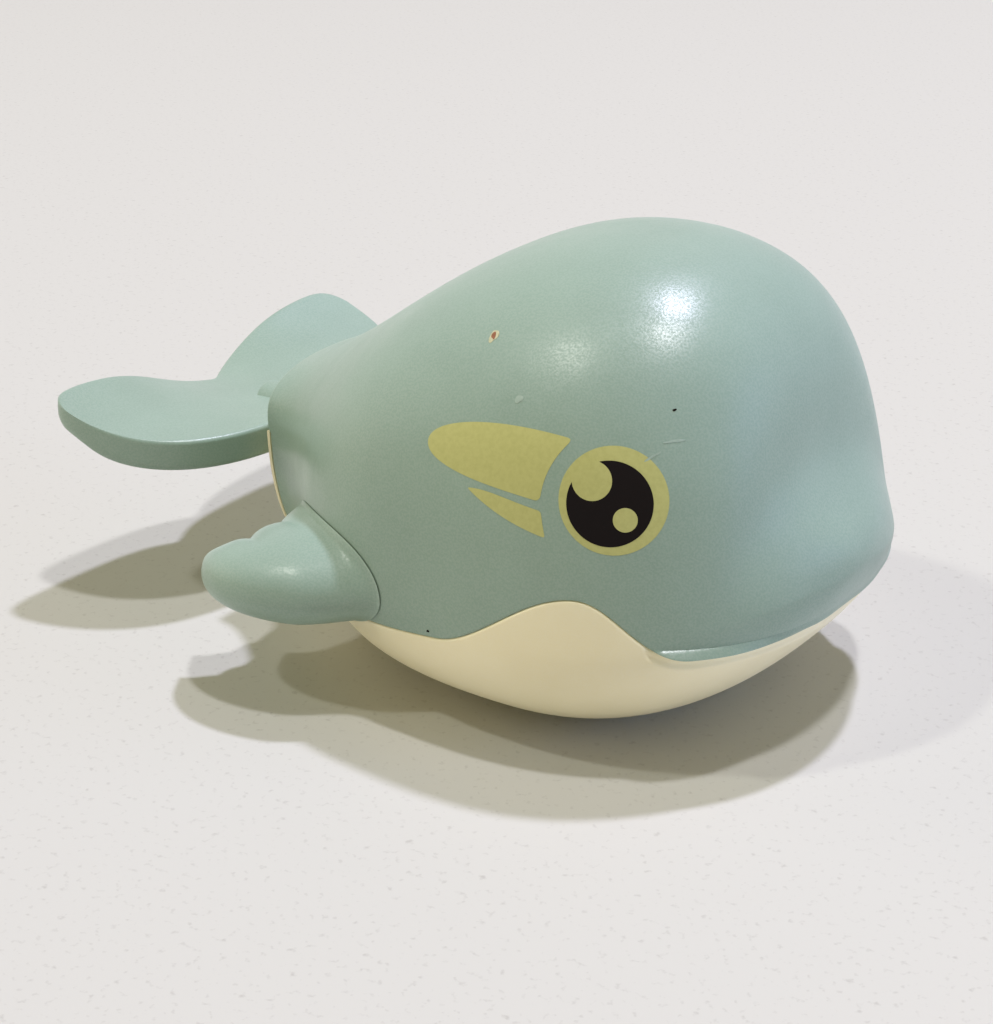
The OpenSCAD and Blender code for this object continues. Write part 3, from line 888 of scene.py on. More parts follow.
@dataclass
class ShellGrid:
    """How the two shells share their rows: back, brow and lip, with close rows at the rear rim."""

    form: WhaleForm
    back_rows: float = 20
    brow_rows: float = 26
    lip_rows: float = 4
    rows: int = 212
    rim_rows: int = 8
    rim_share: float = 0.3
    strip_share: float = 0.125
    edge_least: float = 0.004
    edge_most: float = 0.6

    @property
    def total(self) -> float:
        """Rows of the coarse layout that the fine rows subdivide."""
        return self.back_rows + self.brow_rows + self.lip_rows

    def row_at(self, u: Points) -> Points:
        """Row of the coarse layout for a share of the way from rear to mouth."""
        return np.interp(u, [0, self.rim_rows / self.rows, 1], [0, self.rim_share, self.total])

    def seam_x(self, row: Points, depth: float, start: float) -> Points:
        """Where a row meets the joint line.

        Args:
            row: Rows of the coarse layout.
            depth: Depth inside the outer surface.
            start: Rear end of the shell along X.

        Returns:
            Places along X.
        """
        front = float(self.form.chin_at(self.form.mouth_z, depth))
        apex = self.form.apex_x
        ahead = (row - self.back_rows) / (self.total - self.back_rows)
        return np.where(row <= self.back_rows, start + (apex - start) * row / self.back_rows,
                        apex + (front - apex) * ahead)

    def crown(self, row: Points, depth: float) -> tuple[Points, Points]:
        """Where a row meets the middle line.

        Args:
            row: Rows of the coarse layout.
            depth: Depth inside the outer surface.

        Returns:
            Places along X, and heights.
        """
        form = self.form
        back_x = form.rear_x + (form.apex_x - form.rear_x) * row / self.back_rows
        brow_z = form.front_heights(clamp((row - self.back_rows) / self.brow_rows, 0, 1), depth)
        lip = clamp((row - self.back_rows - self.brow_rows) / self.lip_rows, 0, 1)
        lip_z = form.lip_z + (form.mouth_z - form.lip_z) * lip
        on_back, on_brow = row <= self.back_rows, row <= self.back_rows + self.brow_rows
        front_x = np.where(on_brow, form.front_x(brow_z, depth), form.chin_at(lip_z, depth))
        x = np.where(on_back, back_x, front_x)
        z = np.where(on_back, form.top_z(back_x, depth), np.where(on_brow, brow_z, lip_z))
        return x, z

    def across(self, v: Points, strip: Points, length: Points) -> tuple[Points, Points]:
        """Side and share of the way from the joint line, with one column along the edge of a strip.

        Args:
            v: Share of the way across the shell, 0 at one joint line to 1 at the other.
            strip: Height of the strip beside the joint line.
            length: Height of the row from the joint line to the middle line.

        Returns:
            Sign of the side, and share of the way to the middle line.
        """
        even = (1 - np.cos(np.pi * (1 - np.abs(2 * v - 1)))) / 2
        line = (1 - math.cos(math.pi * self.strip_share)) / 2
        edge = clamp(strip / np.maximum(length, LEAST), self.edge_least, self.edge_most)
        return np.where(v < 0.5, 1.0, -1.0), even ** (np.log(edge) / math.log(line))

    def build_wall(self, node: str, columns: int, outside: Place, inside: Place) -> bpy.types.Object:
        """Makes the wall of a shell from its two skins.

        Args:
            node: CAD node that it stands for.
            columns: Faces across the shell.
            outside: Gives the points of the outer skin.
            inside: Gives the points of the inner skin.

        Returns:
            The closed wall.
        """
        outer = shaped_grid(f"{node}_outer", self.rows, columns, outside)
        inner = shaped_grid(f"{node}_inner", self.rows, columns, inside)
        return joined_skins(f"whale_{node}", outer, inner)


@dataclass
class UpperShell:
    """Green back, brow, cheeks and upper lip, with a narrow strip that flares out along the mouth."""

    form: WhaleForm
    grid: ShellGrid
    columns: int = 144
    edge_r: float = 0.3
    rear_r: float = 0.6
    strip_h: float = 1.5
    strip_step: float = 0.05
    strip_flare: float = 1.5
    strip_calm_x: float = 37.5
    strip_end_x: float = 44.5
    strip_lead: float = 8.0
    strip_least: float = 0.5
    strip_lift: float = 0.2
    row_h: float = 45.0
    step_from: float = 0.2
    step_to: float = 0.5
    step_reach: float = 6.0

    @property
    def strip_top(self) -> float:
        """Height of the upper edge of the strip."""
        return self.form.mouth_z + self.strip_h

    def place(self, u: Points, v: Points, depth: float) -> Points:
        """Points of the shell at a depth, before its edges are worked.

        Args:
            u: Share of the way from rear to mouth.
            v: Share of the way across, from one joint line to the other.
            depth: Depth inside the outer surface.

        Returns:
            One point per pair.
        """
        form = self.form
        row = self.grid.row_at(u)
        start_x = self.grid.seam_x(row, depth, form.rear_x)
        start_z = form.seam(start_x)
        end_x, end_z = self.grid.crown(row, depth)
        plain = (end_z - start_z) * self.strip_h / self.row_h
        ahead = rise(start_x, form.seam_crest_x, form.seam_crest_x + self.strip_lead)
        strip = plain + (np.maximum(self.strip_top - start_z, self.strip_least) - plain) * ahead
        side, share = self.grid.across(v, strip, end_z - start_z)
        x = start_x + (end_x - start_x) * share
        z = start_z + (end_z - start_z) * share
        x = x + self.rear_step(z) * clamp(1 - (x - form.rear_x) / self.step_reach, 0, 1)
        y = np.where((share < 1) & (u < 1), form.side_y(x, z, depth), 0)
        return np.stack([x, side * y, z], -1)

    def rear_step(self, z: Points) -> Points:
        """How far the rear rim stands back to leave room for the edge of the rear cover."""
        top = self.form.flange_top
        return self.form.flange_t * (1 - rise(z, top - self.step_from, top + self.step_to))

    def outside(self, u: Points, v: Points) -> Points:
        """Points of the outer skin, with rounded edges and the strip along the mouth.

        Args:
            u: Share of the way from rear to mouth.
            v: Share of the way across.

        Returns:
            One point per pair.
        """
        points = self.place(u, v, 0.0)
        x, _, z = points.T
        above = np.maximum(self.form.from_seam(x, z), 0)
        behind = np.maximum(x - self.form.rear_x - self.rear_step(z), 0)
        below_top = (self.strip_top - z) / self.strip_h
        on_strip = (below_top > 0.01) & (x > self.form.seam_crest_x)
        flare = self.strip_step + (self.strip_flare - self.strip_step) * below_top
        calm = clamp((x - self.strip_calm_x) / (self.strip_end_x - self.strip_calm_x), 0, 1)
        flare = np.where(on_strip, flare * (1 - calm), 0)
        outward = self.form.outward(points)
        aside = outward * np.array([1, 1, 0]) + np.array([0, 0, self.strip_lift])
        move = round_edge(above, self.edge_r) + round_edge(behind, self.rear_r)
        return points + aside * flare[:, None] - outward * move[:, None]

    def build(self, finish: bpy.types.Material) -> bpy.types.Object:
        """Makes the shell.

        Args:
            finish: Its material.

        Returns:
            The shell.
        """
        shell = self.grid.build_wall("upper_shell", self.columns, self.outside,
                                     lambda u, v: self.place(u, v, self.form.wall))
        smooth_by_angle(shell, degrees=50)
        return place_on(shell, Body.SHELL, finish, ("upper_shell",))


@dataclass
class BellyShell:
    """Cream belly and lower jaw, set back in a band under the upper lip, with counterbored screw holes."""

    form: WhaleForm
    grid: ShellGrid
    columns: int = 112
    edge_r: float = 0.3
    band_d: float = 0.4
    band_h: float = 1.9
    ledge: float = 0.8
    band_from_x: float = 29.2
    band_to_x: float = 30.8
    band_lead: float = 8.0
    row_h: float = 20.0
    screw_places: tuple[Pair, ...] = ((20, 0), (-9, 16), (-9, -16))
    seat_z: float = 4.0
    counterbore_r: float = 2.8
    counterbore_d: float = 5.6
    boss_wall: float = 1.2
    boss_top: float = 14.0

    @property
    def screw_seats(self) -> tuple[Triple, ...]:
        """Middles of the faces of the screw heads."""
        return tuple((x, y, self.seat_z) for x, y in self.screw_places)

    def place(self, u: Points, v: Points, depth: float) -> Points:
        """Points of the shell at a depth, before its edges are worked.

        Args:
            u: Share of the way from rear to mouth.
            v: Share of the way across, from one joint line to the other.
            depth: Depth inside the outer surface.

        Returns:
            One point per pair.
        """
        form = self.form
        row = self.grid.row_at(u)
        x = self.grid.seam_x(row, depth, form.rear_x + form.flange_t)
        start = form.seam(x)
        length = start - form.bot_z(x, depth)
        plain = length * self.band_h / self.row_h
        ahead = rise(x, form.seam_crest_x, form.seam_crest_x + self.band_lead)
        side, share = self.grid.across(v, plain + (self.band_h - plain) * ahead, length)
        z = start - length * share
        y = np.where((share < 1) & (u < 1), form.side_y(x, z, depth), 0)
        return np.stack([x, side * y, np.maximum(z, depth)], -1)

    def outside(self, u: Points, v: Points) -> Points:
        """Points of the outer skin, with rounded edges and the band under the lip.

        Args:
            u: Share of the way from rear to mouth.
            v: Share of the way across.

        Returns:
            One point per pair.
        """
        points = self.place(u, v, 0.0)
        x, _, z = points.T
        below = np.maximum(-self.form.from_seam(x, z), 0)
        behind = np.maximum(x - self.form.rear_x - self.form.flange_t, 0)
        band = self.band_d * (1 - rise(self.form.seam(x) - z, self.band_h - self.ledge, self.band_h))
        band = band * rise(x, self.band_from_x, self.band_to_x)
        move = -band - round_edge(below, self.edge_r) - round_edge(behind, self.edge_r)
        moved = points + self.form.outward(points) * move[:, None]
        moved[:, 2] = np.maximum(moved[:, 2], 0)
        return moved

    def build(self, finish: bpy.types.Material) -> bpy.types.Object:
        """Makes the shell.

        Args:
            finish: Its material.

        Returns:
            The shell.
        """
        wall = self.form.wall
        shell = self.grid.build_wall("belly_shell", self.columns, self.outside,
                                     lambda u, v: self.place(u, v, wall))
        for x, y in self.screw_places:
            boss = rod(Vector((x, y, wall / 2)), Vector((x, y, self.boss_top)),
                       self.counterbore_r + self.boss_wall)
            combine(shell, boss, Merge.ADD)
            bore = rod(Vector((x, y, -OVERRUN)), Vector((x, y, self.counterbore_d)), self.counterbore_r)
            combine(shell, bore, Merge.CUT)
        smooth_by_angle(shell, degrees=50)
        return place_on(shell, Body.SHELL, finish, ("belly_shell",))


@dataclass
class RearCover:
    """Cream plate that closes the rear end, with a stepped edge, screw recesses and a hole for the bush."""

    form: WhaleForm
    plug_t: float = 3.2
    plug_gap: float = 0.15
    edge_gap: float = 0.05
    edge_r: float = 0.2
    bush_r: float = 3.02
    bush_d: float = 9.0
    recess_r: float = 2.0
    recess_d: float = 1.3
    screw_places: tuple[Pair, ...] = ((9.4, 27.7), (-9.4, 27.7), (0, 9.9))
    seat_d: float = 0.2
    points: int = 64

    @property
    def screw_seats(self) -> tuple[Triple, ...]:
        """Middles of the faces of the screw heads."""
        return tuple((self.form.rear_x + self.seat_d, y, z) for y, z in self.screw_places)

    def outline(self, depth: float, low: float, high: float) -> Points:
        """Outline of the rear end between two heights, counter-clockwise from below.

        Args:
            depth: Depth inside the outer surface.
            low: Lower height, or less than the lowest for all of it.
            high: Upper height, or more than the highest for all of it.

        Returns:
            Points as y and z.
        """
        x = np.array([self.form.rear_x])
        low = max(low, float(self.form.bot_z(x, depth)[0]) + LEAST)
        high = min(high, float(self.form.top_z(x, depth)[0]) - LEAST)
        z = (low + high) / 2 - (high - low) / 2 * np.cos(np.pi * np.linspace(0, 1, self.points))
        y = self.form.side_y(np.full_like(z, x[0]), z, depth)
        return np.concatenate([np.stack([y, z], -1), np.stack([-y, z], -1)[::-1]])

    def plate(self, name: str, outline: Points, thickness: float) -> bpy.types.Object:
        """A flat plate that starts at the rear end and reaches forward.

        Args:
            name: Name of the plate.
            outline: Its outline as y and z.
            thickness: How far it reaches forward.

        Returns:
            The plate with rounded edges.
        """
        deselect()
        bpy.ops.mesh.primitive_circle_add(vertices=len(outline), radius=1, fill_type="NGON")
        plate = named(name)
        full = np.concatenate([np.full((len(outline), 1), self.form.rear_x), outline], 1)
        set_points(plate, full * MM)
        bpy.ops.object.mode_set(mode="EDIT")
        bpy.ops.mesh.select_all(action="SELECT")
        bpy.ops.mesh.remove_doubles(threshold=1e-6)
        bpy.ops.mesh.select_all(action="SELECT")
        bpy.ops.mesh.extrude_region_move(TRANSFORM_OT_translate={"value": (thickness * MM, 0, 0)})
        bpy.ops.mesh.select_all(action="SELECT")
        bpy.ops.mesh.normals_make_consistent(inside=False)
        bpy.ops.object.mode_set(mode="OBJECT")
        round_off(plate, self.edge_r, 3)
        return plate

    def build(self, finish: bpy.types.Material) -> bpy.types.Object:
        """Makes the cover.

        Args:
            finish: Its material.

        Returns:
            The cover.
        """
        form, rear = self.form, self.form.rear_x
        edge = self.outline(self.edge_gap, 0, form.flange_top)
        cover = self.plate("whale_rear_cover", edge, form.flange_t)
        inside = self.outline(form.wall + self.plug_gap, 0, form.body_h)
        combine(cover, self.plate("rear_plug", inside, self.plug_t), Merge.ADD)
        holes = [(0.0, form.shaft_z, self.bush_r, self.bush_d)]
        holes += [(y, z, self.recess_r, self.recess_d) for y, z in self.screw_places]
        for y, z, radius, depth in holes:
            hole = rod(Vector((rear - OVERRUN, y, z)), Vector((rear + depth, y, z)), radius)
            combine(cover, hole, Merge.CUT)
        smooth_by_angle(cover, degrees=40)
        return place_on(cover, Body.SHELL, finish, ("rear_cover",))


@dataclass
class Tail:
    """Two-lobed tail: a dished plate with a crisp front rim that thins to its trailing edge, on a hub.

    The roundings are the first and last columns of a section's four rounded edges: the rim, the two trailing
    edges and the keel under the rim. Fields that end in p or q are exponents of the plan and of the tips.
    """

    form: WhaleForm
    gap: float = 1.7
    length: float = 23.5
    lobe: float = 3.7
    notch_w: float = 4.0
    notch_r: float = 6.0
    tip_ahead: float = 1.0
    span: float = 32.6
    lead_p: float = 2.9
    lead_q: float = 2.05
    trail_p: float = 19.0
    trail_q: float = 2.0
    tip_p: float = 40.0
    tip_q: float = 4.0
    curl: float = 6.5
    curl_spread: float = 190.0
    curl_start: float = 0.07
    thick: float = 5.0
    thinning: float = 0.56
    rim_r: float = 0.7
    keel_r: float = 1.4
    chord_limit: float = 0.4
    half_limit: float = 0.8
    hub_r: float = 3.5
    hub_l: float = 11.6
    hub_lap: float = 0.2
    hub_edge: float = 0.45
    recess_r: float = 2.0
    recess_d: float = 1.4
    seat_d: float = 0.2
    rows: int = 132
    columns: int = 80
    roundings: tuple[tuple[int, int], ...] = ((2, 12), (36, 41), (43, 48), (68, 78))

    @property
    def front(self) -> float:
        """Front edge of the flukes along X."""
        return self.form.rear_x - self.gap

    @property
    def hub_end(self) -> float:
        """Rear end of the hub along X."""
        return self.front - self.hub_l

    @property
    def screw_seats(self) -> tuple[Triple, ...]:
        """Middle of the face of the screw's head."""
        return ((self.hub_end + self.seat_d, 0.0, self.form.shaft_z),)

    def chord(self, x: Points) -> Points:
        """Share of the way from the front edge to the trailing edge."""
        return clamp((self.front - x) / (self.length + self.lobe), 0, 1)

    def behind(self, x: Points, lead: Points) -> Points:
        """Distance behind the front edge, as a share of the longest section."""
        return clamp((lead - x) / (self.length + self.lobe), 0, 1)

    def half_thickness(self, x: Points, lead: Points) -> Points:
        """Half of the plate's thickness, away from its tips."""
        return self.thick / 2 * (1 - self.thinning * self.behind(x, lead))

    def place(self, u: Points, v: Points) -> Points:
        """Points of the flukes: sections from one tip to the other, each from the front wall over the top.

        Args:
            u: Share of the way from tip to tip.
            v: Share of the way round a section.

        Returns:
            One point per pair.
        """
        s = -np.cos(np.pi * u)
        reach = np.abs(s)
        y = self.span * s
        notch = self.front - self.length
        tip_x = notch + self.tip_ahead
        lobes = self.lobe * (1 - np.exp(-y * y / (self.notch_w * np.abs(y) + self.notch_r)))
        lead = tip_x + (self.front - tip_x) * arch(reach, self.lead_p, self.lead_q)
        trail = tip_x + (notch - lobes - tip_x) * arch(reach, self.trail_p, self.trail_q)
        taper = arch(reach, self.tip_p, self.tip_q)
        column, edges = v * self.columns, np.ravel(self.roundings)
        turn = np.radians(np.interp(column, edges, [0, 90, 90, 180, 180, 270, 270, 360]))
        across = np.interp(column, edges[[1, 2, 5, 6]], [1, -1, -1, 1])
        up = np.interp(column, [0, *edges[[0, 3, 4, 7]], self.columns], [0, 1, 1, -1, -1, 0])
        radius = np.where(v < 0.5, self.rim_r, self.keel_r)
        radius = np.minimum(radius, self.chord_limit * (lead - trail))
        radius = np.minimum(radius, self.half_limit * self.half_thickness(trail, lead) * taper)
        x = (lead + trail) / 2 + ((lead - trail) / 2 - radius) * across + radius * np.cos(turn)
        chord, half = self.chord(x), self.half_thickness(x, lead)
        rise_back = self.curl_start * chord + (1 - self.curl_start) * chord * chord
        dish = self.curl * (1 - np.exp(-y * y / self.curl_spread)) * rise_back
        sag = self.thinning / 2 * self.thick * (chord - self.behind(x, lead))
        z = self.form.shaft_z + dish - sag + half * (1 - taper)
        z = z + (half * taper - radius) * up + radius * np.sin(turn)
        return np.stack([x, y, z], -1)

    def build(self, finish: bpy.types.Material) -> bpy.types.Object:
        """Makes the tail.

        Args:
            finish: Its material.

        Returns:
            The tail.
        """
        end, axis = self.hub_end, self.form.shaft_z
        flukes = shaped_grid("whale_tail", self.rows, self.columns, self.place)
        hub = rod(Vector((end, 0, axis)), Vector((self.front + self.hub_lap, 0, axis)), self.hub_r,
                  vertices=96)
        round_off(hub, self.hub_edge, 4)
        recess = rod(Vector((end - OVERRUN, 0, axis)), Vector((end + self.recess_d, 0, axis)), self.recess_r)
        combine(hub, recess, Merge.CUT)
        join([flukes, hub])
        smooth_by_angle(flukes, degrees=50)
        return place_on(flukes, Body.TAIL, finish, ("tail_fluke",))


@dataclass
class Flipper:
    """One paddle: sections from its root on the body to the tip, with two creases over its rear edge.

    The ways are the last three control points of the front and rear edges, from the root on the flank.
    """

    form: WhaleForm
    root_x: float = -22.4
    root_z: float = 19.5
    root_a: float = 14.1
    root_b: float = 8.5
    lead_y: float = -0.1
    lead_way: tuple[Pair, ...] = ((6.3, 7.7), (-9, 11.4), (-15.6, 3.6))
    trail_y: float = -16.4
    trail_way: tuple[Pair, ...] = ((-12, -7.2), (-14, -1.6), (-18, 0.1))
    drop: float = 2.3
    skin_gap: float = 0.15
    fullness: float = 0.25
    lean: float = 0.15
    under_lean: float = 0.25
    root_share: float = 0.35
    stand: float = 6.0
    stand_share: float = 0.5
    crease_d: float = 0.7
    crease_from: float = 0.127
    crease_gap: float = 0.273
    crease_slant: float = 0.06
    crease_in: Pair = (1.15, 2.1)
    crease_out: Pair = (3.5, 4.4)
    cap_share: float = 0.06
    crowding: float = 0.35
    rows: int = 64
    columns: int = 120

    def skin(self, x: Points, z: Points) -> Points:
        """Body surface that the root sits on."""
        return self.form.side_y(x, z) + self.skin_gap

    def crease(self, s: Points, turn: Points) -> Points:
        """Depth of the two creases that slant from the rear edge over the top.

        Args:
            s: Share of the way from root to tip.
            turn: Angle round a section, 0 at the front edge and a quarter turn at the top.

        Returns:
            Depth at each point.
        """
        place = (s - self.crease_from - self.crease_slant * turn) / self.crease_gap
        away = np.minimum(np.abs(place), np.abs(place - 1))
        shown = rise(turn, *self.crease_in) * (1 - rise(turn, *self.crease_out))
        return self.crease_d * np.maximum(1 - 2 * away, 0) ** 2 * shown

    def place(self, u: Points, v: Points) -> Points:
        """Points of the left flipper, from the middle of the root cap to the tip.

        Args:
            u: Share of the way from the middle of the cap to the tip.
            v: Share of the way round a section.

        Returns:
            One point per pair.
        """
        cap = clamp(u / self.cap_share, 0, 1)
        s = clamp((u - self.cap_share) / (1 - self.cap_share), 0, 1)
        s = s * (2 - s) * self.crowding + s * (1 - self.crowding)
        turn = 2 * np.pi * v
        root = np.array([self.root_x, self.form.half_w])
        lead = root + bezier(((self.root_a, self.lead_y), *self.lead_way), s)
        trail = root + bezier(((-self.root_a, self.trail_y), *self.trail_way), s)
        crease = self.crease(s, turn)
        full = self.fullness * s * (1 - s) * 4 - crease
        plan = (lead + trail) / 2 + (lead - trail) / 2 * np.cos(turn)[:, None]
        x = plan[:, 0] - full * np.maximum(-np.cos(turn), 0)
        near = np.maximum(1 - s / self.root_share, 0) ** 2
        lean = np.where(np.sin(turn) > 0, self.lean, self.lean - self.under_lean * near)
        height = np.sin(turn) * (1 - self.lean + lean * np.cos(turn))
        z = self.root_z - self.drop * s + self.root_b * np.sqrt(np.maximum(1 - s, 0)) * height
        z = z - crease * np.maximum(np.sin(turn), 0)
        skin = self.skin(x, z)
        y = plan[:, 1] + (skin - plan[:, 1]) * near
        y = np.maximum(y, skin + self.stand * s * clamp(1 - s / self.stand_share, 0, 1))
        cap_x = self.root_x + self.root_a * cap * np.cos(turn)
        cap_z = self.root_z + self.root_b * cap * height
        on_cap = u < self.cap_share
        x, z = np.where(on_cap, cap_x, x), np.where(on_cap, cap_z, z)
        y = np.where(on_cap, self.skin(cap_x, cap_z), y)
        return np.stack([x, y, z], -1)

    def build(self, side: Side, finish: bpy.types.Material) -> bpy.types.Object:
        """Makes one flipper.

        Args:
            side: Which side it goes on.
            finish: Its material.

        Returns:
            The flipper.
        """
        label = side.name.lower()
        flip = np.array([1, side.value, 1])
        piece = shaped_grid(f"whale_{label}_flipper", self.rows, self.columns,
                            lambda u, v: self.place(u, v) * flip)
        smooth_by_angle(piece, degrees=60)
        return place_on(piece, Body.SHELL, finish, (f"{label}_flipper",))


# Prints and marks


@dataclass
class FilmPress:
    """Lays thin films of ink on the upper shell."""

    form: WhaleForm
    shell: bpy.types.Object
    film: float = 0.03
    lift: float = 0.01
    stand_off: float = 9.0
    rings: int = 14

    def frame_at(self, place: Triple, ahead: Vector | None = None) -> Matrix:
        """Frame on the surface at a place: Z outward, Y up along the surface, X to the side.

        Args:
            place: Place on the outer surface.
            ahead: Outward direction to use instead of the surface's own.

        Returns:
            The frame, in metres.
        """
        out = ahead or Vector(self.form.outward(np.array([place]))[0])
        across = UP.cross(out).normalized()
        axes = Matrix((across, out.cross(across), out)).transposed().to_4x4()
        return Matrix.Translation(Vector(place) * MM) @ axes

    def press(self, name: str, outline: Points, level: int, frame: Matrix) -> bpy.types.Object:
        """Lays one film on the shell and gives it its thickness.

        Args:
            name: Name of the film.
            outline: Its outline in the frame, in millimetres.
            level: How many films lie under it.
            frame: Frame that it is pressed along, Z outward.

        Returns:
            The film, at the origin.
        """
        deselect()
        count = len(outline)
        bpy.ops.mesh.primitive_circle_add(vertices=count, radius=1, fill_type="NOTHING")
        film = named(name)
        flat = np.concatenate([outline, np.full((count, 1), self.stand_off)], 1)
        set_points(film, flat * MM)
        middle = Vector(flat.mean(0) * MM)
        bpy.ops.object.mode_set(mode="EDIT")
        bpy.ops.mesh.select_all(action="SELECT")
        for ring in range(self.rings, 1, -1):
            shrink = (ring - 1) / ring
            bpy.ops.mesh.extrude_edges_move()
            bpy.ops.transform.resize(value=(shrink, shrink, 1), center_override=middle)
        bpy.ops.mesh.extrude_edges_move()
        bpy.ops.mesh.merge(type="CENTER")
        bpy.ops.mesh.select_all(action="SELECT")
        bpy.ops.mesh.normals_make_consistent(inside=False)
        bpy.ops.object.mode_set(mode="OBJECT")
        film.matrix_world = frame
        apply_modifier(film, "SHRINKWRAP", target=self.shell, wrap_method="PROJECT", use_project_z=True,
                       use_negative_direction=True, use_positive_direction=False,
                       offset=(self.lift + level * self.film) * MM)
        bpy.ops.object.transform_apply(location=True, rotation=True, scale=True)
        apply_modifier(film, "SOLIDIFY", thickness=self.film * MM, offset=1.0)
        smooth_by_angle(film, degrees=60)
        return film


def ring_outline(radius: float, at: Pair, count: int = 96) -> Points:
    """Outline of a round print."""
    turn = np.linspace(0, 2 * np.pi, count, endpoint=False)
    return np.stack([at[0] + radius * np.cos(turn), at[1] + radius * np.sin(turn)], -1)


def curved_outline(curves: tuple[tuple[Pair, ...], ...], soft: int = 3, count: int = 200) -> Points:
    """Outline made of cubic curves, with its corners slightly softened.

    Args:
        curves: Control points of the curves, end to end.
        soft: How many neighbours on each side soften a corner.
        count: Points on each curve, and on the whole outline.

    Returns:
        Points at even steps round the outline.
    """
    fine = np.concatenate([bezier(c, np.linspace(0, 1, count, endpoint=False)) for c in curves])
    closed = np.concatenate([fine, fine[:1]])
    way = np.concatenate([[0], np.cumsum(np.linalg.norm(np.diff(closed, axis=0), axis=1))])
    steps = np.linspace(0, way[-1], count, endpoint=False)
    even = np.stack([np.interp(steps, way, closed[:, axis]) for axis in (0, 1)], -1)
    return np.mean([np.roll(even, k, axis=0) for k in range(-soft, soft + 1)], axis=0)


@dataclass
class FacePrint:
    """Printed eye of one side, with the two marks behind it."""

    press: FilmPress
    centre: Triple = (24.55, 29.9, 40.53)
    outward: Triple = (0.46, 0.852, 0.248)
    iris_r: float = 7.0
    pupil_r: float = 5.53
    pupil_at: Pair = (-0.45, -0.41)
    glint_r: float = 2.57
    glint_at: Pair = (-2.82, 2.45)
    spark_r: float = 1.57
    spark_at: Pair = (1.61, -2.33)
    brow_mark: tuple[tuple[Pair, ...], ...] = (
        ((-2.6, 43.5), (-2.6, 46.2), (8, 48.9), (18.4, 47.5)),
        ((18.4, 47.5), (16.4, 45.2), (15.5, 42.4), (15.7, 39.4)),
        ((15.7, 39.4), (9, 40.2), (-2.5, 40.2), (-2.6, 43.5)))
    cheek_mark: tuple[tuple[Pair, ...], ...] = (
        ((5, 39.1), (8, 39.7), (12, 38.7), (16, 38.25)),
        ((16, 38.25), (16.3, 37.2), (16.6, 36), (17, 34.9)),
        ((17, 34.9), (13, 35.7), (9, 36.9), (5, 39.1)))

    def build(self, side: Side, finishes: Finishes) -> None:
        """Prints one side.

        Args:
            side: Which side it goes on.
            finishes: The materials.
        """
        label = side.name.lower()
        flip = Vector((1, side.value, 1))
        nose_way = -side.value
        eye = self.press.frame_at(tuple(Vector(self.centre) * flip), Vector(self.outward) * flip)
        flank = self.press.frame_at((0, side.value * self.press.form.half_w, 0), Vector((0, side.value, 0)))
        rounds = (("iris", self.iris_r, (0.0, 0.0), finishes.iris),
                  ("pupil", self.pupil_r, self.pupil_at, finishes.pupil),
                  ("glint", self.glint_r, self.glint_at, finishes.iris),
                  ("spark", self.spark_r, self.spark_at, finishes.iris))
        films = [(f"{label}_eye_{part}", ring_outline(radius, at), level, eye, finish)
                 for level, (part, radius, at, finish) in enumerate(rounds)]
        films += [(f"{label}_brow_mark", curved_outline(self.brow_mark), 0, flank, finishes.iris),
                  (f"{label}_cheek_mark", curved_outline(self.cheek_mark), 0, flank, finishes.iris)]
        for name, outline, level, frame, finish in films:
            film = self.press.press(name, outline * np.array([nose_way, 1]), level, frame)
            place_on(film, Body.SHELL, finish)


@dataclass(frozen=True)
class Mark:
    """One small mark on the shell: where it is, its half sizes and how far it is turned."""

    place: Triple
    size: Pair
    turn: float = 0.0
    seed: float = 0.0
    lumps: float = 0.2
    nicks: float = 0.12
    points: int = 28

    def outline(self) -> Points:
        """An uneven oval.

        Returns:
            Its points, in millimetres.
        """
        way = np.linspace(0, 2 * np.pi, self.points, endpoint=False)
        uneven = (1 + self.lumps * np.sin(2 * way + self.seed)
                  + self.nicks * np.sin(3 * way + 2 * self.seed))
        oval = np.stack([self.size[0] * uneven * np.cos(way), self.size[1] * uneven * np.sin(way)], -1)
        cos, sin = math.cos(self.turn), math.sin(self.turn)
        return oval @ np.array([[cos, sin], [-sin, cos]])


@dataclass
class WearMarks:
    """Small chip, rubs and specks of dirt that the toy has picked up on its right side."""

    press: FilmPress
    chip: Mark = Mark((2.24, -24.84, 56.43), (0.6, 1.0), 0.3, 0.7)
    dirt: Mark = Mark((2.2, -24.8, 56.5), (0.28, 0.62), 0.3, 2.1)
    specks: tuple[Mark, ...] = (Mark((28.35, -22.17, 51.29), (0.26, 0.15)),
                                Mark((-0.1, -36.59, 17.6), (0.2, 0.2), 0.0, 1.3))
    rubs: tuple[Mark, ...] = (Mark((9.68, -29.58, 50.82), (0.5, 0.55), 0.0, 0.4),
                              Mark((27.58, -25.92, 45.98), (1.0, 0.16), 0.5, 1.1),
                              Mark((29.38, -23.48, 47.77), (1.2, 0.2), 0.1, 2.0))

    def build(self, finishes: Finishes) -> None:
        """Adds the marks.

        Args:
            finishes: The materials.
        """
        marks = [("worn_chip", self.chip, 0, finishes.chip), ("chip_dirt", self.dirt, 1, finishes.dirt)]
        marks += [(f"dirt_speck_{n}", mark, 0, finishes.pupil) for n, mark in enumerate(self.specks)]
        marks += [(f"rub_mark_{n}", mark, 0, finishes.scuff) for n, mark in enumerate(self.rubs)]
        for name, mark, level, finish in marks:
            film = self.press.press(name, mark.outline(), level, self.press.frame_at(mark.place))
            place_on(film, Body.SHELL, finish)


# Clockwork and fastenings


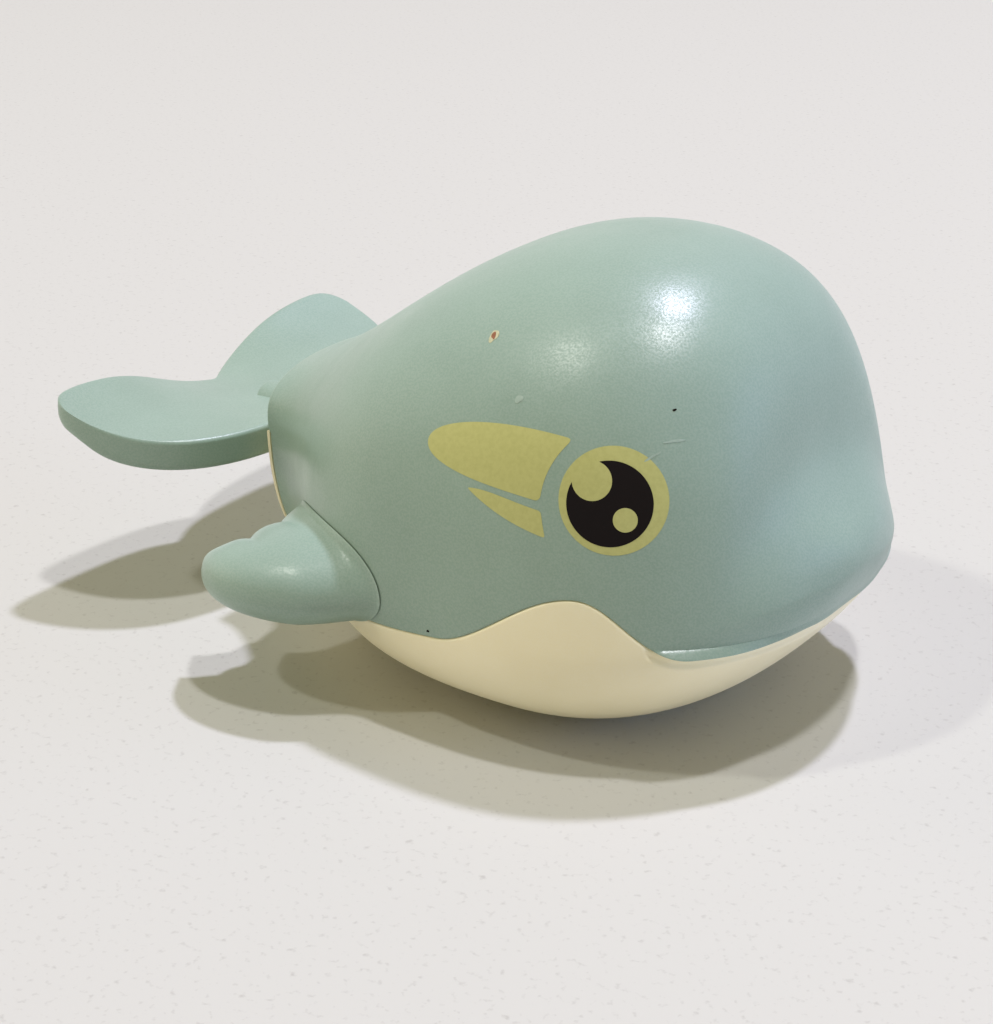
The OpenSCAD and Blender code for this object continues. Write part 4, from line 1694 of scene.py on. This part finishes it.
@dataclass
class CrossScrews:
    """Screws of one node: bevelled heads with a cross recess, on plain shanks.

    The edge, slot and shank shares are of the head's thickness, and a slot's length and width of its radius.
    """

    node: str
    body: Body
    seats: tuple[Triple, ...]
    way: Triple
    head_r: float
    head_t: float
    shank_r: float
    length: float
    edge_share: float = 0.35
    slot_l: float = 1.2
    slot_w: float = 0.3
    slot_d: float = 1.2
    shank_from: float = 0.9

    def build_one(self, seat: Vector) -> bpy.types.Object:
        """Makes one screw.

        Args:
            seat: Middle of the face of its head.

        Returns:
            The screw.
        """
        way = Vector(self.way)
        head = rod(seat, seat + way * self.head_t, self.head_r)
        round_off(head, self.edge_share * self.head_t, 4)
        depth = self.slot_d * self.head_t * MM
        radius = self.head_r * MM
        for wide, high in ((self.slot_l, self.slot_w), (self.slot_w, self.slot_l)):
            deselect()
            bpy.ops.mesh.primitive_cube_add(size=1)
            slot = bpy.context.object
            stretch = Matrix.Diagonal((wide * radius, high * radius, depth, 1))
            slot.data.transform(Matrix.Translation(seat * MM) @ turned_to(way) @ stretch)
            combine(head, slot, Merge.CUT)
        shank = rod(seat + way * self.head_t * self.shank_from, seat + way * self.length, self.shank_r,
                    vertices=32)
        return join([head, shank])

    def build(self, finish: bpy.types.Material) -> bpy.types.Object:
        """Makes every screw of the node as one piece.

        Args:
            finish: Their material.

        Returns:
            The piece.
        """
        join([self.build_one(Vector(seat)) for seat in self.seats])
        piece = named(f"cross_{self.node}")
        smooth_by_angle(piece, degrees=35)
        return place_on(piece, self.body, finish, (self.node,))


@dataclass
class Clockwork:
    """Hidden CAD nodes that keep their shape and get a finish."""

    frame: dict
    finishes: Finishes

    def dress(self) -> None:
        """Gives every CAD node the finish of its slot."""
        slots = {part["node"]: Slot(part["material_slot"]) for part in self.frame["record"]["subparts"]}
        for name, node in self.frame["nodes"].items():
            node.data.materials.clear()
            node.data.materials.append(self.finishes.of_slot(slots[name]))
        log.info("clockwork: %d nodes dressed", len(slots))


# Studio


@dataclass(frozen=True)
class Lamp:
    """One round soft lamp: the way from the toy to it, its width in metres, its level and its colour.

    The level is the light that it gives a surface that faces it, where 1 shows a white as white. A broad
    fill isn't mirrored, so the toy shows no reflection of it.
    """

    name: str
    toward: Triple
    size: float
    level: float
    colour: str
    mirrored: bool = True

    def build(self, distance: float, height: float) -> None:
        """Adds the lamp, facing the toy.

        Args:
            distance: How far it stands from the toy, in metres.
            height: Height of the point that it faces, in metres.
        """
        data = bpy.data.lights.new(self.name, "AREA")
        data.shape = "DISK"
        data.size = self.size
        data.energy = self.level * (math.pi * distance) ** 2
        data.color = linear(self.colour)[:3]
        lamp = bpy.data.objects.new(self.name, data)
        way = Vector(self.toward).normalized()
        lamp.location = way * distance + UP * height
        lamp.visible_glossy = self.mirrored
        lamp.rotation_euler = way.to_track_quat("Z", "Y").to_euler()
        bpy.context.scene.collection.objects.link(lamp)


@dataclass
class Studio:
    """Pale floor, soft lamps and the camera."""

    azimuth: float = 36.23
    elevation: float = 23.88
    distance: float = 326.19
    target: Triple = (-13.85, -2.32, 19.17)
    focal_px: float = 2200.0
    image_px: tuple[int, int] = (993, 1024)
    sensor_mm: float = 36.0
    clip_m: Pair = (0.01, 20)
    lamps: tuple[Lamp, ...] = (
        Lamp("key_lamp", (0.23, -0.04, 0.97), 0.16, 0.41, "#faf8ff"),
        Lamp("far_lamp", (0.05, 0.3, 0.95), 0.14, 0.75, "#e5e4ff"),
        Lamp("warm_lamp", (-0.32, -0.46, 0.83), 0.16, 0.19, "#fffff6"),
        Lamp("window", (0.88, 0.38, 0.15), 1.4, 0.46, "#a4bfff", mirrored=False),
        Lamp("left_fill", (-0.93, -0.32, 0.12), 1.6, 0.43, "#fff4e3", mirrored=False))
    lamp_distance: float = 2.5
    lamp_height: float = 0.03
    floor_m: float = 6.0
    floor_colour: str = "#c4c4bd"
    floor_speck: str = "#b1b0a9"
    floor_roughness: float = 0.6
    speck_mm: float = 10 / 9
    backdrop: str = "#e2dfdc"
    surround: str = "#ffeda6"
    surround_level: float = 0.25
    fade_from: float = 0.5
    fade_to: float = 1.6

    def build_camera(self) -> None:
        """Sets the camera at the viewing angle of the photograph."""
        azimuth, elevation = math.radians(self.azimuth), math.radians(self.elevation)
        back = Vector((math.sin(azimuth) * math.cos(elevation), -math.cos(azimuth) * math.cos(elevation),
                       math.sin(elevation)))
        data = bpy.data.cameras.new("camera")
        data.sensor_width = self.sensor_mm
        data.lens = self.sensor_mm * self.focal_px / max(self.image_px)
        data.clip_start, data.clip_end = self.clip_m
        camera = bpy.data.objects.new("camera", data)
        camera.location = (Vector(self.target) + back * self.distance) * MM
        camera.rotation_euler = back.to_track_quat("Z", "Y").to_euler()
        bpy.context.scene.collection.objects.link(camera)
        bpy.context.scene.camera = camera

    def seen(self, tree: bpy.types.NodeTree) -> bpy.types.NodeSocket:
        """Tells the surround that is looked at from the surround that lights.

        Args:
            tree: Node tree to add to.

        Returns:
            A value that is 1 where it is seen, straight or in a reflection, and 0 where it lights.
        """
        path = add_node(tree, "ShaderNodeLightPath")
        value = path.outputs["Is Camera Ray"]
        for ray in ("Is Glossy Ray", "Is Transmission Ray"):
            either = add_node(tree, "ShaderNodeMath", {0: value, 1: path.outputs[ray]}, operation="MAXIMUM")
            value = either.outputs["Value"]
        return value

    def build_floor(self) -> bpy.types.Object:
        """Lays a pale floor with its top at the table plane, which fades into the backdrop.

        Returns:
            The floor.
        """
        deselect()
        bpy.ops.mesh.primitive_plane_add(size=self.floor_m)
        floor = named("floor")
        material, tree, shader = new_material("pale_table_top")
        place = add_node(tree, "ShaderNodeTexCoord").outputs["Object"]
        specks = add_node(tree, "ShaderNodeTexNoise", {
            "Vector": place, "Scale": 1 / (self.speck_mm * MM), "Detail": 2.0})
        colour = add_node(tree, "ShaderNodeValToRGB", {"Fac": specks.outputs["Fac"]},
                          stops=((0.2, self.floor_speck), (0.4, self.floor_colour)))
        set_inputs(tree, shader, {"Base Color": colour.outputs["Color"], "Roughness": self.floor_roughness})
        away = add_node(tree, "ShaderNodeVectorMath", {0: place}, operation="LENGTH")
        fade = add_node(tree, "ShaderNodeMapRange", {
            "Value": away.outputs["Value"], "From Min": self.fade_from, "From Max": self.fade_to})
        share = add_node(tree, "ShaderNodeMath", {0: fade.outputs["Result"], 1: self.seen(tree)},
                         operation="MULTIPLY")
        pale = add_node(tree, "ShaderNodeEmission", {"Color": linear(self.backdrop)})
        mix = add_node(tree, "ShaderNodeMixShader", {
            0: share.outputs["Value"], 1: shader.outputs["BSDF"], 2: pale.outputs["Emission"]})
        set_inputs(tree, tree.nodes["Material Output"], {"Surface": mix.outputs["Shader"]})
        floor.data.materials.append(material)
        return floor

    def build_lights(self) -> None:
        """Adds the lamps and a dim warm surround, which is itself seen as a pale backdrop."""
        for lamp in self.lamps:
            lamp.build(self.lamp_distance, self.lamp_height)
        world = bpy.data.worlds.new("surround")
        world.use_nodes = True
        tree = world.node_tree
        lighting = tree.nodes["Background"]
        set_inputs(tree, lighting, {"Color": linear(self.surround), "Strength": self.surround_level})
        pale = add_node(tree, "ShaderNodeBackground", {"Color": linear(self.backdrop)})
        mix = add_node(tree, "ShaderNodeMixShader", {
            0: self.seen(tree), 1: lighting.outputs["Background"], 2: pale.outputs["Background"]})
        set_inputs(tree, tree.nodes["World Output"], {"Surface": mix.outputs["Shader"]})
        bpy.context.scene.world = world
        bpy.context.scene.view_settings.view_transform = "Standard"

    def build(self) -> None:
        """Sets the whole stage."""
        self.build_camera()
        self.build_floor()
        self.build_lights()


def main() -> None:
    """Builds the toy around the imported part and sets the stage."""
    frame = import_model()
    Studio().build()
    finishes = Finishes()
    Clockwork(frame, finishes).dress()
    form = WhaleForm()
    grid = ShellGrid(form)
    upper = UpperShell(form, grid).build(finishes.green)
    belly = BellyShell(form, grid)
    belly.build(finishes.cream)
    cover = RearCover(form)
    cover.build(finishes.cream)
    tail = Tail(form)
    tail.build(finishes.green)
    press = FilmPress(form, upper)
    for side in Side:
        Flipper(form).build(side, finishes.green)
        FacePrint(press).build(side, finishes)
    WearMarks(press).build(finishes)
    screws = (
        CrossScrews("shell_screws", Body.SHELL, belly.screw_seats, (0, 0, 1),
                    head_r=2.5, head_t=1.6, shank_r=1.3, length=20.5),
        CrossScrews("motor_screws", Body.SHELL, cover.screw_seats, (1, 0, 0),
                    head_r=1.7, head_t=1.1, shank_r=0.9, length=11.2),
        CrossScrews("tail_screw", Body.TAIL, tail.screw_seats, (1, 0, 0),
                    head_r=1.8, head_t=1.2, shank_r=0.8, length=6.0))
    for group in screws:
        group.build(finishes.steel)
    deselect()


if __name__ == "__main__":
    logging.basicConfig(level=logging.INFO, format="%(message)s")
    main()
